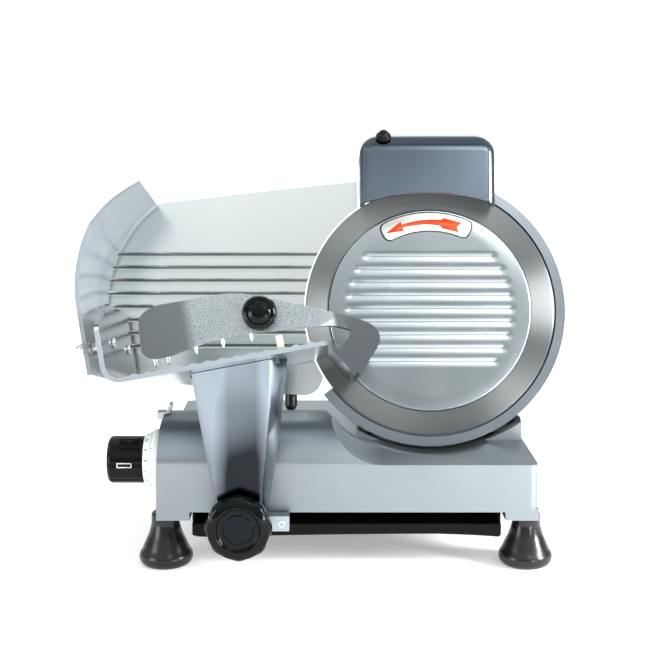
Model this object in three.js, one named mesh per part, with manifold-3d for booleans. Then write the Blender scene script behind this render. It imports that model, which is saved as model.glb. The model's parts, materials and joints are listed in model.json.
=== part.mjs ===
// Gravity-feed deli meat slicer with a 250 mm blade, built as separate pieces.
// Millimetres, +Z up. The operator stands at -Y and the food tray travels along X.
// While modelling, x = y = 0 is the blade centre and z is the height above the table;
// the last lines stand the finished machine over the middle of its own footprint.

import * as THREE from "three";
import { mergeVertices } from "three/addons/utils/BufferGeometryUtils.js";
import Module from "manifold-3d";

const wasm = await Module();
wasm.setup();

const DEG = Math.PI / 180;
const GAP = 0.3;

// ---------------------------------------------------------------- driving dimensions
const TILT = 14 * DEG;          // the blade, tray and gauge plate lean back this far
const BLADE_HEIGHT = 230;       // blade centre above the table
const BLADE_R = 125;
const COVER_R = 101.2;
const RING = { inner: 126.8, outer: 136, startDeg: -141.5, endDeg: 64, back: -24 };
const DISH_R = 122;             // back plate of the blade housing where there is no ring
const RIB_PITCH = 13.2;         // ribs of the gauge plate and of the blade cover

const BASE = { left: -262, right: 93, front: -125, rear: 150, bottom: 59, top: 104, wall: 6 };
const PAD = { width: 31, depth: 57, bottom: 51 };
const HUMP = { right: -40, top: 137, back: -38, filletX: -102, filletR: 50 };
const MOTOR_BAY = { left: -75, right: 93, front: -32, rear: 168 };
const FOOT = { height: 50.7, neckR: 13.2, flareR: 25.5, front: -95, rear: 125, left: -257, right: 86 };

const DRIVE = { bladePulleyR: 40, motorPulleyR: 12, motorA: 25, motorB: -78, front: -76, back: -88 };
const DIAL = { y: -75, z: 96, knobR: 22.5, knobLeft: -312, collarLeft: -277.7, collarR: 29.5 };
const CAM = { left: -226, right: -219, turn: 300 * DEG, spare: 15 * DEG };
const GAUGE = { face: 1, back: -8, rodA: -196, rodB: -135, pinS: 24.5, pinR: 4, travel: 12 };
const SHARPENER = {
  left: -70.5, right: 64, top: 176.5, front: 28, back: -38, wall: 5, cornerR: 22, sideR: 9, topR: 20,
};
const POST = { a: -47, s: -4, r: 6 };
const SHARP_KNOB = { b: 169.36, s: 23.32, lean: 40 * DEG };
const STONE = { r: 18, orbit: 141, deburrA: -4, grindA: 36 };

const CARRIAGE_ROD = { y: -95, z: 67, r: 7 };
const GUIDE_BAR = { front: -75, back: -67, bottom: 53, top: 62 };
const BLOCK = { left: -214, right: -150, front: -113, back: -78, bottom: 44, top: 84 };
const ARM = { x: -182, front: -165, back: -141.3, studZ: 61 };
const TRAY = { a: -290, b: -81, turn: 10.3 * DEG, near: 200, far: 16, floor: 190, half: 2 };
const PUSHER_ROD = { p: 221, q: -2, r: 6 };
const PUSHER = { front: 186, back: 181, hubFront: 190.5, hubBack: 150, knobA: -160.7, knobB: -22 };
const GUARD = { p: -18.8, half: 2, near: 160, far: 12, boltS: [136, 50], boltQ: 38 };

// ---------------------------------------------------------------- finishes
const finishes = {
  casting: { color: 0xb4bec4, roughness: 0.42, metalness: 0.75 },
  polished: { color: 0xc9d2d4, roughness: 0.22, metalness: 0.95 },
  bladeSteel: { color: 0x8f9697, roughness: 0.18, metalness: 1.0 },
  steel: { color: 0xb9bdc0, roughness: 0.3, metalness: 0.9 },
  glossBlack: { color: 0x15181a, roughness: 0.12, metalness: 0.0 },
  rubber: { color: 0x25282b, roughness: 0.6, metalness: 0.0 },
  blackPaint: { color: 0x0c0d0e, roughness: 0.5, metalness: 0.1 },
  whitePlastic: { color: 0xe4eae4, roughness: 0.4, metalness: 0.0 },
  nylon: { color: 0xd8d0b4, roughness: 0.5, metalness: 0.0 },
  brass: { color: 0xc0a050, roughness: 0.35, metalness: 0.9 },
  stone: { color: 0x6c4a3c, roughness: 0.95, metalness: 0.0 },
  beltRubber: { color: 0x1a1a1a, roughness: 0.8, metalness: 0.0 },
  motorPaint: { color: 0x3a4046, roughness: 0.5, metalness: 0.3 },
  green: { color: 0x1e8c46, roughness: 0.35, metalness: 0.0 },
  red: { color: 0xc02a20, roughness: 0.35, metalness: 0.0 },
  clear: { color: 0xb4c0c8, roughness: 0.08, metalness: 0.0, transparent: true, opacity: 0.45 },
};

// ---------------------------------------------------------------- solids
function welded(geometry) {
  const bare = geometry.clone();
  bare.deleteAttribute("normal");
  bare.deleteAttribute("uv");
  return mergeVertices(bare, 1e-4);
}

function signedVolume(position, corners) {
  const a = new THREE.Vector3();
  const b = new THREE.Vector3();
  const c = new THREE.Vector3();
  let volume = 0;
  for (let i = 0; i < corners.length; i += 3) {
    a.fromBufferAttribute(position, corners[i]);
    b.fromBufferAttribute(position, corners[i + 1]);
    c.fromBufferAttribute(position, corners[i + 2]);
    volume += a.dot(b.cross(c));
  }
  return volume;
}

function toManifold(geometry) {
  const mesh = welded(geometry);
  const index = mesh.index.array;
  const corners = [];
  for (let i = 0; i < index.length; i += 3) {
    const [a, b, c] = [index[i], index[i + 1], index[i + 2]];
    if (a !== b && b !== c && c !== a) corners.push(a, b, c);
  }
  if (signedVolume(mesh.attributes.position, corners) < 0) corners.reverse();
  const vertProperties = new Float32Array(mesh.attributes.position.array);
  const triVerts = new Uint32Array(corners);
  return new wasm.Manifold(new wasm.Mesh({ numProp: 3, vertProperties, triVerts }));
}

function toGeometry(solid) {
  const mesh = solid.getMesh();
  const geometry = new THREE.BufferGeometry();
  geometry.setAttribute("position", new THREE.BufferAttribute(new Float32Array(mesh.vertProperties), 3));
  geometry.setIndex(new THREE.BufferAttribute(new Uint32Array(mesh.triVerts), 1));
  return geometry;
}

function join(...parts) {
  return toGeometry(parts.map(toManifold).reduce((whole, part) => whole.add(part)));
}

function cut(body, ...tools) {
  return toGeometry(tools.map(toManifold).reduce((whole, tool) => whole.subtract(tool), toManifold(body)));
}

function common(first, second) {
  return toGeometry(toManifold(first).intersect(toManifold(second)));
}

// ---------------------------------------------------------------- basic shapes
function block(x0, x1, y0, y1, z0, z1) {
  const box = new THREE.BoxGeometry(x1 - x0, y1 - y0, z1 - z0);
  return box.translate((x0 + x1) / 2, (y0 + y1) / 2, (z0 + z1) / 2);
}

function outline(points) {
  return new THREE.Shape(points.map(([x, y]) => new THREE.Vector2(x, y)));
}

function roundedRect(x0, x1, y0, y1, r) {
  const shape = new THREE.Shape();
  shape.moveTo(x0 + r, y0);
  shape.lineTo(x1 - r, y0);
  shape.absarc(x1 - r, y0 + r, r, -Math.PI / 2, 0);
  shape.lineTo(x1, y1 - r);
  shape.absarc(x1 - r, y1 - r, r, 0, Math.PI / 2);
  shape.lineTo(x0 + r, y1);
  shape.absarc(x0 + r, y1 - r, r, Math.PI / 2, Math.PI);
  shape.lineTo(x0, y0 + r);
  shape.absarc(x0 + r, y0 + r, r, Math.PI, 1.5 * Math.PI);
  return shape;
}

// An outline in the XY plane, extruded from z0 to z1.
function plate(shape, z0, z1, curveSegments = 12) {
  const solid = new THREE.ExtrudeGeometry(shape, { depth: z1 - z0, bevelEnabled: false, curveSegments });
  return solid.translate(0, 0, z0);
}

// An outline of (x, z) points, extruded along Y.
function frontPlate(shape, y0, y1, curveSegments = 12) {
  return plate(shape, 0, y1 - y0, curveSegments).rotateX(Math.PI / 2).translate(0, y1, 0);
}

// An outline of (y, z) points, extruded along X.
function sidePlate(shape, x0, x1, curveSegments = 12) {
  const axes = new THREE.Matrix4().makeBasis(
    new THREE.Vector3(0, 1, 0), new THREE.Vector3(0, 0, 1), new THREE.Vector3(1, 0, 0));
  return plate(shape, x0, x1, curveSegments).applyMatrix4(axes);
}

// A profile of [radius, height] points turned about the X, Y or Z axis.
function turned(profile, axis = "z", segments = 32) {
  const points = profile.map(([r, h]) => new THREE.Vector2(r, h));
  const solid = new THREE.LatheGeometry(points, segments);
  if (axis === "z") solid.rotateX(Math.PI / 2);
  if (axis === "x") solid.rotateZ(-Math.PI / 2);
  return solid;
}

function rod(r, h0, h1, axis = "z", segments = 20) {
  return turned([[0, h0], [r, h0], [r, h1], [0, h1]], axis, segments);
}

function tube(r0, r1, h0, h1, axis = "z", segments = 24) {
  return turned([[r0, h0], [r1, h0], [r1, h1], [r0, h1], [r0, h0]], axis, segments);
}

// Sides that lean in as they rise from height z0, as on a casting with draft.
function drafted(geometry, z0, middleX, rate) {
  const position = geometry.attributes.position;
  for (let i = 0; i < position.count; i += 1) {
    const rise = Math.max(0, position.getZ(i) - z0);
    const x = position.getX(i);
    position.setX(i, x - Math.sign(x - middleX) * rise * rate);
  }
  return geometry;
}

// A closed skin through stacked outlines that all have the same number of points.
function loft(sections) {
  const count = sections[0].length;
  const vertices = sections.flat().flatMap((p) => [p.x, p.y, p.z]);
  const triangles = [];
  for (let level = 0; level < sections.length - 1; level += 1) {
    for (let i = 0; i < count; i += 1) {
      const a = level * count + i;
      const b = level * count + ((i + 1) % count);
      triangles.push(a, b, b + count, a, b + count, a + count);
    }
  }
  const flat = sections[0].map((p) => new THREE.Vector2(p.x, p.y));
  const top = (sections.length - 1) * count;
  for (const [a, b, c] of THREE.ShapeUtils.triangulateShape(flat, [])) {
    triangles.push(c, b, a);
    triangles.push(top + a, top + b, top + c);
  }
  const geometry = new THREE.BufferGeometry();
  geometry.setAttribute("position", new THREE.Float32BufferAttribute(vertices, 3));
  geometry.setIndex(triangles);
  return geometry;
}

// ---------------------------------------------------------------- frames and assembly
const slicer = new THREE.Group();

// Blade frame: local x runs right, y up the blade's face and z out of it at the operator.
const bladeFrame = new THREE.Group();
bladeFrame.position.set(0, 0, BLADE_HEIGHT);
bladeFrame.rotation.x = Math.PI / 2 - TILT;
slicer.add(bladeFrame);
bladeFrame.updateMatrix();

// Tray frame: inside the blade frame, turned so that its x follows the tray's floor.
const trayFrame = new THREE.Group();
trayFrame.position.set(TRAY.a, TRAY.b, 0);
trayFrame.rotation.z = TRAY.turn;
bladeFrame.add(trayFrame);
trayFrame.updateMatrix();

function inMachine(bladeGeometry) {
  return bladeGeometry.clone().applyMatrix4(bladeFrame.matrix);
}

function piece(parent, name, finish, geometry) {
  const faces = toGeometry(toManifold(geometry)).toNonIndexed();
  faces.computeVertexNormals();
  const mesh = new THREE.Mesh(faces, new THREE.MeshStandardMaterial(finishes[finish]));
  mesh.name = name;
  parent.add(mesh);
}

// ---------------------------------------------------------------- base
function humpOutline(inset) {
  const front = BASE.front + inset;
  const top = HUMP.top - inset;
  const back = HUMP.back - inset;
  const foot = BASE.bottom + 1;
  const shape = new THREE.Shape();
  shape.moveTo(front, foot);
  shape.lineTo(front, BASE.top);
  shape.quadraticCurveTo(front + 13 - inset / 3, top, front + 47 - inset, top);
  shape.lineTo(back - 6, top);
  shape.quadraticCurveTo(back, top, back, top - 6);
  shape.lineTo(back, foot);
  return shape;
}

function motorBayOutline(inset) {
  const front = MOTOR_BAY.front + inset;
  const rear = MOTOR_BAY.rear - inset;
  const foot = BASE.bottom;
  const shape = new THREE.Shape();
  shape.moveTo(front, foot);
  shape.lineTo(front, 170);
  shape.lineTo(22 + inset, 292 - inset);
  shape.lineTo(72, 285 - inset);
  shape.quadraticCurveTo(104, 280 - inset, 124 - inset, 240);
  shape.lineTo(rear - 13, 188);
  shape.quadraticCurveTo(rear, 165, rear, 140);
  shape.lineTo(rear, foot);
  return shape;
}

// The hollow round seat that the ring of the blade housing and the blade dip into.
function bladeClearance() {
  const back = RING.back - GAP;
  const profile = [[0, back], [137.4, back], [139, -2], [143, 4], [145.5, 25], [146, 45], [144.5, 62], [0, 62]];
  return inMachine(turned(profile, "z", 96));
}

function baseCasting() {
  const { left, right, front, rear, bottom, top, wall } = BASE;
  const middle = (left + right) / 2;
  const deck = plate(roundedRect(left, right, front, rear, 8), bottom, top, 4);
  const hump = sidePlate(humpOutline(0), left, HUMP.right, 10);
  const bay = drafted(sidePlate(motorBayOutline(0), MOTOR_BAY.left, MOTOR_BAY.right, 8), top, 9, 0.09);
  const pads = [];
  for (const x of [left, right - PAD.width]) {
    pads.push(block(x, x + PAD.width, front, front + PAD.depth, PAD.bottom, bottom + 3));
    pads.push(block(x, x + PAD.width, rear - 40, rear, PAD.bottom, bottom + 3));
  }
  const solid = drafted(join(deck, hump, ...pads), PAD.bottom, middle, 0.02);

  const fillet = new THREE.Shape();
  fillet.moveTo(HUMP.filletX, 170);
  fillet.lineTo(HUMP.filletX, top + HUMP.filletR);
  fillet.absarc(HUMP.filletX + HUMP.filletR, top + HUMP.filletR, HUMP.filletR, Math.PI, 1.5 * Math.PI);
  fillet.lineTo(HUMP.right + 5, top);
  fillet.lineTo(HUMP.right + 5, 170);

  const deckRoom = plate(roundedRect(left + wall, right - wall, front + wall, rear - wall, 4), bottom + 3, top - wall, 4);
  const opening = block(left + 31, right - 31, front + wall, rear - wall, 40, bottom + 4);
  const sideOpening = block(left + wall, right - wall, front + PAD.depth, rear - 40, 40, bottom + 4);
  const cradle = block(MOTOR_BAY.left, right, -62, -2, 80, top);
  const humpRoom = sidePlate(humpOutline(wall), left + wall, HUMP.filletX - 8, 8);
  const bayRoom = drafted(
    sidePlate(motorBayOutline(wall), MOTOR_BAY.left + wall, MOTOR_BAY.right - wall, 8), top, 9, 0.09);
  const rooms = join(cut(deckRoom, cradle), opening, sideOpening, humpRoom, cut(bayRoom, cradle));

  const bearingHole = inMachine(rod(28.4, -80, -20, "z", 48));
  const tieRodHole = inMachine(rod(5.5, -200, -120, "z", 24));
  const gaugeSlot = block(GAUGE.rodA - 24, GAUGE.rodA + 17, HUMP.back + 2, 18, top - 12, top + 12);
  const reachSlot = block(CAM.left - 3, GAUGE.rodA - 9.8, HUMP.back - 8, HUMP.back + 4, 90, 111);
  const guideRodHole = inMachine(rod(7.3, -70, 30).translate(GAUGE.rodA, GAUGE.rodB, 0));
  const dialHole = rod(8.6, left - 10, left + 20, "x").translate(0, DIAL.y, DIAL.z);
  const switchHole = block(right - 30, right + 10, 20, 58, 68, 92);
  const glandHole = rod(8.6, -20, 20, "y").translate(-40, rear, 78);
  const shell = cut(
    join(solid, bay), frontPlate(fillet, front - 5, MOTOR_BAY.front + 2), bladeClearance(), rooms,
    bearingHole, tieRodHole, gaugeSlot, reachSlot, dialHole, switchHole, glandHole);
  const guideLug = inMachine(block(GAUGE.rodA - 14, GAUGE.rodA + 14, GAUGE.rodB - 14, -117, -62, -51));
  return cut(join(shell, guideLug), guideRodHole);
}

function bottomCover() {
  const floor = plate(roundedRect(-230, 60, -112, 140, 6), 35, 37, 4);
  const lip = new THREE.Shape();
  lip.moveTo(-230, 43.6);
  lip.lineTo(-230, 33);
  lip.quadraticCurveTo(-227, 31, -218, 31);
  lip.quadraticCurveTo(-90, 34, 0, 34);
  lip.quadraticCurveTo(36, 33, 58, 31);
  lip.lineTo(60, 33);
  lip.lineTo(60, 43.6);
  return join(floor, frontPlate(lip, -112, -109, 6), block(-230, 60, 137, 140, 36, 57));
}

function foot() {
  const h = FOOT.height;
  const profile = [
    [0, 0], [22, 0], [FOOT.flareR, 5], [FOOT.flareR, 10.5], [20.1, 21.7], [FOOT.neckR, 35.5], [FOOT.neckR, h], [0, h],
  ];
  return turned(profile, "z", 24);
}

// ---------------------------------------------------------------- blade group
function bladeHousing() {
  const { inner, outer, startDeg, endDeg, back } = RING;
  const front = -17.5;
  const profile = [[118, back], [outer, back], [outer, 0], [inner, 0], [inner, front], [118, front], [118, back]];
  const ring = turned(profile, "z", 80);
  const open = new THREE.Shape();
  open.moveTo(0, 0);
  open.lineTo(200 * Math.cos(endDeg * DEG), 200 * Math.sin(endDeg * DEG));
  open.absarc(0, 0, 200, endDeg * DEG, (360 + startDeg) * DEG);
  const disc = tube(21.3, DISH_R, back, front, "z", 72);
  const bearingTube = tube(21.3, 28, -74, back + 1, "z", 32);
  const postBlock = block(POST.a - 8, POST.a + 8, 108, 137, back, front);
  const postShelf = block(POST.a - 8, POST.a + 8, 128.5, 137, back, POST.s + 8);
  return join(cut(ring, plate(open, back - 1, 1, 24)), disc, bearingTube, postBlock, postShelf);
}

function blade() {
  const profile = [
    [12.3, -11.4], [100, -10.5], [119, -4.5], [BLADE_R, -0.4], [BLADE_R, 0],
    [COVER_R + 0.5, 1], [COVER_R + 0.5, -5], [34, -7], [12.3, -7], [12.3, -11.4],
  ];
  return turned(profile, "z", 72);
}

function bladeCover() {
  const face = turned([
    [0, -12.5], [5, -12.5], [5, -4.5], [COVER_R, -4.5], [COVER_R, 1.6], [COVER_R - 4, 2.6], [90, 3.2], [0, 3.2],
  ], "z", 72);
  const grooves = [];
  for (let i = -4; i <= 4; i += 1) {
    const b = i * RIB_PITCH + 1;
    const half = Math.sqrt(87 ** 2 - b ** 2);
    const groove = outline([[b - 3.2, 4], [b, 1.7], [b + 3.2, 4]]);
    grooves.push(sidePlate(groove, -half, half, 1));
  }
  return cut(face, ...grooves);
}

function bladeShaft() {
  return turned([
    [5.5, -7.6], [12, -7.6], [12, -11.7], [28, -11.7], [28, -16.4], [12, -16.4], [12, -92], [5.5, -92], [5.5, -7.6],
  ], "z", 24);
}

function pulley(bore, r, grooves) {
  const { front, back } = DRIVE;
  const pitch = (front - back) / grooves;
  const profile = [[bore, back]];
  for (let i = 0; i < grooves; i += 1) {
    profile.push([r, back + i * pitch]);
    profile.push([r - 1.6, back + (i + 0.5) * pitch]);
  }
  profile.push([r, front], [bore, front], [bore, back]);
  return turned(profile, "z", 28);
}

// A flat loop round both pulleys; each side is straight between its two tangent points.
function driveBelt() {
  const { bladePulleyR, motorPulleyR, motorA, motorB, front, back } = DRIVE;
  const reach = Math.hypot(motorA, motorB);
  const toward = Math.atan2(motorB, motorA);
  const loop = (extra) => {
    const spread = Math.acos((bladePulleyR - motorPulleyR) / reach);
    const shape = new THREE.Path();
    shape.absarc(0, 0, bladePulleyR + extra, toward + spread, toward - spread + 2 * Math.PI);
    shape.absarc(motorA, motorB, motorPulleyR + extra, toward - spread, toward + spread);
    shape.closePath();
    return shape;
  };
  const belt = new THREE.Shape(loop(3).getPoints(14));
  belt.holes.push(new THREE.Path(loop(GAP).getPoints(14)));
  return plate(belt, back + 0.5, front - 0.5);
}

function motorBody() {
  return turned([
    [5.3, -96.3], [18, -96.3], [40, -99], [47, -104], [47, -160], [42, -168], [20, -172], [0, -172], [0, -116],
    [5.3, -116], [5.3, -96.3],
  ], "z", 28).translate(DRIVE.motorA, DRIVE.motorB, 0);
}

function motorBracket() {
  const { motorA, motorB } = DRIVE;
  const sheet = block(motorA - 46, motorA + 46, motorB - 46, motorB + 46, -96, -92.5);
  return cut(sheet, rod(16, -100, -90).translate(motorA, motorB, 0));
}

function motorRotor() {
  return rod(5, -115, -74).translate(DRIVE.motorA, DRIVE.motorB, 0);
}

function coverKnob() {
  const profile = [
    [4.4, -172], [9, -172], [9, -179], [20, -180], [22, -183], [22, -190], [18, -194], [0, -195], [0, -188],
    [4.4, -188], [4.4, -172],
  ];
  const flutes = [];
  for (let i = 0; i < 8; i += 1) {
    flutes.push(rod(4, -200, -175, "z", 8).translate(24.5, 0, 0).rotateZ((i * Math.PI) / 4));
  }
  return cut(turned(profile, "z", 32), ...flutes);
}

// ---------------------------------------------------------------- sharpener
// The outline at one depth: `side` and `top` say how far the rounded front edges draw it in.
function sharpenerOutline(inset, side, top) {
  const [x0, x1] = [SHARPENER.left + inset + side, SHARPENER.right - inset - side];
  const y1 = SHARPENER.top - inset - top;
  const r = Math.max(3, SHARPENER.cornerR - inset - Math.max(side, top));
  const shape = new THREE.Shape();
  if (inset > 0) {
    shape.moveTo(x0, 80);
    shape.lineTo(x1, 80);
  } else {
    shape.moveTo(x0, 103 + side / 3);
    shape.quadraticCurveTo((x0 + x1) / 2, 124, x1, 103 + side / 3);
  }
  shape.lineTo(x1, y1 - r);
  shape.absarc(x1 - r, y1 - r, r, 0, Math.PI / 2);
  shape.lineTo(x0 + r, y1);
  shape.absarc(x0 + r, y1 - r, r, Math.PI / 2, Math.PI);
  return shape.getPoints(5);
}

function sharpenerBody(inset) {
  const topR = SHARPENER.topR - inset;
  const sideR = SHARPENER.sideR - inset;
  const drawnIn = (r, depth) => (depth >= r ? 0 : r - Math.sqrt(r ** 2 - (r - depth) ** 2));
  const levels = [[SHARPENER.back + inset, topR]];
  for (let turn = 0; turn <= 90; turn += 15) {
    const depth = topR * (1 - Math.sin(turn * DEG));
    levels.push([SHARPENER.front - inset - depth, depth]);
  }
  return loft(levels.map(([s, depth]) => {
    const points = sharpenerOutline(inset, drawnIn(sideR, depth), drawnIn(topR, depth));
    return points.map(({ x, y }) => new THREE.Vector3(x, y, s));
  }));
}

function sharpenerHousing() {
  const { back, wall } = SHARPENER;
  const bladeRoom = rod(139, back - 5, 6, "z", 96);
  const spindleHoles = [STONE.deburrA, STONE.grindA].map((a) => {
    const b = Math.sqrt(STONE.orbit ** 2 - a ** 2);
    return rod(4.4, back - 5, back + 10).translate(a, b, 0);
  });
  const screwHole = rod(3.4, -20, 6).rotateX(-SHARP_KNOB.lean).translate(POST.a, SHARP_KNOB.b, SHARP_KNOB.s);
  return cut(sharpenerBody(0), sharpenerBody(wall), bladeRoom, screwHole, ...spindleHoles);
}

// The clamp knob stands square on the rounded top edge; its screw bears on the post.
function sharpenerKnob() {
  const profile = [[0, -24.8], [3, -24.8], [3, 0.4], [9.5, 0.4], [9.5, 6], [6.5, 6.5], [6.5, 9], [5, 12], [2.6, 13.6], [0, 14]];
  const body = turned(profile, "z", 24);
  const flats = [];
  for (let i = 0; i < 8; i += 1) {
    flats.push(block(8.6, 12, -6, 6, 0, 7).rotateZ((i * Math.PI) / 4));
  }
  return cut(body, ...flats).rotateX(-SHARP_KNOB.lean).translate(POST.a, SHARP_KNOB.b, SHARP_KNOB.s);
}

function spindle(a, tip) {
  const b = Math.sqrt(STONE.orbit ** 2 - a ** 2);
  const profile = [
    [0, tip], [4, tip], [4, -44], [8.5, -44], [9.5, -46], [9.5, -51], [7, -54], [0, -54],
  ];
  return turned(profile, "z", 16).translate(a, b, 0);
}

function stone(a, s0, s1) {
  const b = Math.sqrt(STONE.orbit ** 2 - a ** 2);
  return tube(4.3, STONE.r, s0, s1, "z", 24).translate(a, b, 0);
}

// ---------------------------------------------------------------- thickness gauge
function gaugeOutline() {
  const edge = BLADE_R + 1.2;
  const topA = -72.6;
  const shape = new THREE.Shape();
  shape.moveTo(topA, 130.5);
  shape.lineTo(-141, 123.5);
  shape.lineTo(-270, 108.5);
  shape.quadraticCurveTo(-283, 107, -291, 98);
  shape.bezierCurveTo(-316, 74, -334, 46, -334, 22);
  shape.lineTo(-333, -2);
  shape.bezierCurveTo(-332, -46, -300, -70, -256, -74);
  shape.lineTo(-130, -85.5);
  shape.quadraticCurveTo(-110, -86, -edge * Math.cos(32 * DEG), -edge * Math.sin(32 * DEG));
  shape.absarc(0, 0, edge, 212 * DEG, Math.acos(topA / edge), true);
  return shape;
}

function gaugePlate() {
  const grooves = [];
  for (let i = 0; i < 8; i += 1) {
    const b = 56.2 - i * RIB_PITCH;
    const groove = outline([[b - 3.2, GAUGE.face + 1], [b, GAUGE.face - 1.6], [b + 3.2, GAUGE.face + 1]]);
    grooves.push(sidePlate(groove, -340, -90, 1));
  }
  return cut(plate(gaugeOutline(), GAUGE.back, GAUGE.face, 16), ...grooves);
}

// The leg behind the plate: it drops through the slot in the base to the guide rod.
function gaugeArm() {
  const { rodA, rodB, back, pinS, pinR } = GAUGE;
  const pad = block(rodA - 50, rodA + 50, -70, 20, -14, back - GAP);
  const leg = block(rodA - 14, rodA + 14, rodB + 10, -20, -26, -13);
  const bearing = block(rodA - 22, rodA + 15, rodB - 14, rodB + 16, -34, -4);
  const reach = block(rodA - 22, rodA - 11.5, rodB - 6, rodB + 6, -5, 30);
  const bore = rod(7.3, -60, 60).translate(rodA, rodB, 0);
  const pinHole = rod(pinR + GAP, rodA - 30, rodA - 13, "x").translate(0, rodB, pinS);
  return cut(join(pad, leg, bearing, reach), bore, pinHole);
}

function camFollower() {
  return rod(GAUGE.pinR, CAM.left, GAUGE.rodA - 13.4, "x").translate(0, GAUGE.rodB, GAUGE.pinS);
}

function dialKnob() {
  const { knobR, knobLeft, collarLeft } = DIAL;
  const profile = [
    [0, knobLeft], [knobR - 3, knobLeft], [knobR, knobLeft + 3], [knobR, collarLeft - GAP], [8.4, collarLeft - GAP],
    [8.4, knobLeft + 12], [0, knobLeft + 12],
  ];
  const flutes = [];
  for (let i = 0; i < 12; i += 1) {
    flutes.push(rod(1.8, knobLeft - 2, collarLeft - 6, "x", 6).translate(0, knobR + 0.9, 0).rotateX((i * Math.PI) / 6));
  }
  return cut(turned(profile, "x", 36), ...flutes).translate(0, DIAL.y, DIAL.z);
}

function dialCollar() {
  const { collarLeft, collarR, knobR } = DIAL;
  const right = BASE.left - 0.6;
  return turned([
    [8.4, collarLeft], [knobR + 0.3, collarLeft], [collarR, right - 4], [collarR, right], [8.4, right], [8.4, collarLeft],
  ], "x", 36).translate(0, DIAL.y, DIAL.z);
}

// Shaft and spiral cam. The cam's edge is drawn by following the pin through the whole travel.
function dialShaft() {
  const shaft = rod(8, DIAL.knobLeft + 12.4, CAM.right, "x");
  const pin = new THREE.Vector3();
  const points = [];
  for (let turn = -CAM.spare; turn <= CAM.turn + CAM.spare; turn += CAM.spare / 2) {
    const travel = (GAUGE.travel * turn) / CAM.turn;
    pin.set(0, GAUGE.rodB, GAUGE.pinS - travel).applyMatrix4(bladeFrame.matrix);
    const r = Math.hypot(pin.y - DIAL.y, pin.z - DIAL.z) - GAUGE.pinR - GAP;
    const angle = Math.atan2(pin.z - DIAL.z, pin.y - DIAL.y) - turn;
    points.push([r * Math.cos(angle), r * Math.sin(angle)]);
  }
  return join(shaft, sidePlate(outline(points), CAM.left, CAM.right)).translate(0, DIAL.y, DIAL.z);
}

function dialPointer() {
  const { left, bottom } = { left: BASE.left, bottom: 133 };
  const edge = left + (bottom - PAD.bottom) * 0.02 - 0.2;
  return frontPlate(outline([
    [edge - 7, bottom], [edge, bottom], [edge, HUMP.top + GAP], [edge + 6, HUMP.top + GAP],
    [edge + 8.5, 147.5], [edge + 5, 148], [edge + 2, 140], [edge - 7, 140],
  ]), -64, -52);
}

// ---------------------------------------------------------------- carriage
function slideBlock() {
  const { left, right, front, back, bottom, top } = BLOCK;
  const body = block(left, right, front, back, bottom, top);
  const rearFoot = block(ARM.x - 14, ARM.x + 14, back - 1, GUIDE_BAR.back + 1, bottom, GUIDE_BAR.bottom - GAP);
  const tongue = block(left + 8, right - 6, ARM.back + 13, front + 1, bottom, 56);
  const face = block(left + 2, right + 12, ARM.back + GAP, ARM.back + 13.6, 46, 60.5);
  const boss = rod(15, ARM.back + GAP, ARM.back + 13.6, "y", 32).translate(ARM.x, 0, ARM.studZ);
  const bore = rod(10.3, left - 1, right + 1, "x").translate(0, CARRIAGE_ROD.y, CARRIAGE_ROD.z);
  const studHole = rod(5.4, ARM.back - 2, ARM.back + 11, "y").translate(ARM.x, 0, ARM.studZ);
  return cut(join(body, rearFoot, tongue, face, boss), bore, studHole);
}

function slideBushing(x0, x1) {
  return tube(CARRIAGE_ROD.r + GAP, 10, x0, x1, "x").translate(0, CARRIAGE_ROD.y, CARRIAGE_ROD.z);
}

// The upright arm is a tapering channel: a front face, and flanges that run back from it.
function armSection(z) {
  const rise = (z - 40) / 200;
  const left = -197.5 - 33.3 * rise;
  const right = -164.5 + 14 * Math.min(1, 1.35 * rise);
  const flare = 4 + 9 * rise;
  const { front, back } = ARM;
  const points = [
    [left, back], [left, front + 3], [left + 3, front], [right - 3, front], [right, front + 3], [right + flare, back],
    [right + flare - 4, back], [right - 4.5, front + 4.5], [left + 4, front + 4.5], [left + 4, back],
  ];
  return points.map(([x, y]) => new THREE.Vector3(x, y, z));
}

function trayArm() {
  const channel = loft([36, 60, 90, 130, 170, 210, 250].map(armSection));
  const aboveFloor = block(-60, 320, -TRAY.half - GAP, 200, -60, 320).applyMatrix4(trayFrame.matrix);
  const upright = cut(channel, inMachine(aboveFloor));
  const seat = inMachine(block(66, 146, -6.3, -TRAY.half - GAP, 118, 150).applyMatrix4(trayFrame.matrix));
  const boss = rod(14, ARM.back, ARM.front + 2, "y", 32).translate(ARM.x, 0, ARM.studZ);
  const bore = rod(5.4, ARM.front - 5, ARM.back + 5, "y").translate(ARM.x, 0, ARM.studZ);
  return cut(join(upright, seat, boss), bore);
}

function starKnob() {
  const lobes = new THREE.Shape();
  const steps = 64;
  for (let i = 0; i < steps; i += 1) {
    const turn = (i / steps) * 2 * Math.PI;
    const r = 28.2 + 1.9 * Math.cos(8 * turn);
    if (i === 0) lobes.moveTo(r, 0);
    else lobes.lineTo(r * Math.cos(turn), r * Math.sin(turn));
  }
  const head = new THREE.ExtrudeGeometry(lobes, {
    depth: 15, bevelEnabled: true, bevelThickness: 2.6, bevelSize: 2.4, bevelOffset: -2.4, bevelSegments: 1,
  }).translate(0, 0, 2.8);
  const recess = turned([[0, 17.5], [15, 17.5], [19.5, 22], [0, 22]], "z", 36);
  const neck = rod(12, 0, 4, "z", 32);
  const stud = rod(5, -33, 3);
  return cut(join(head, neck, stud), recess).rotateX(Math.PI / 2).translate(ARM.x, ARM.front - GAP, ARM.studZ);
}

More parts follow.
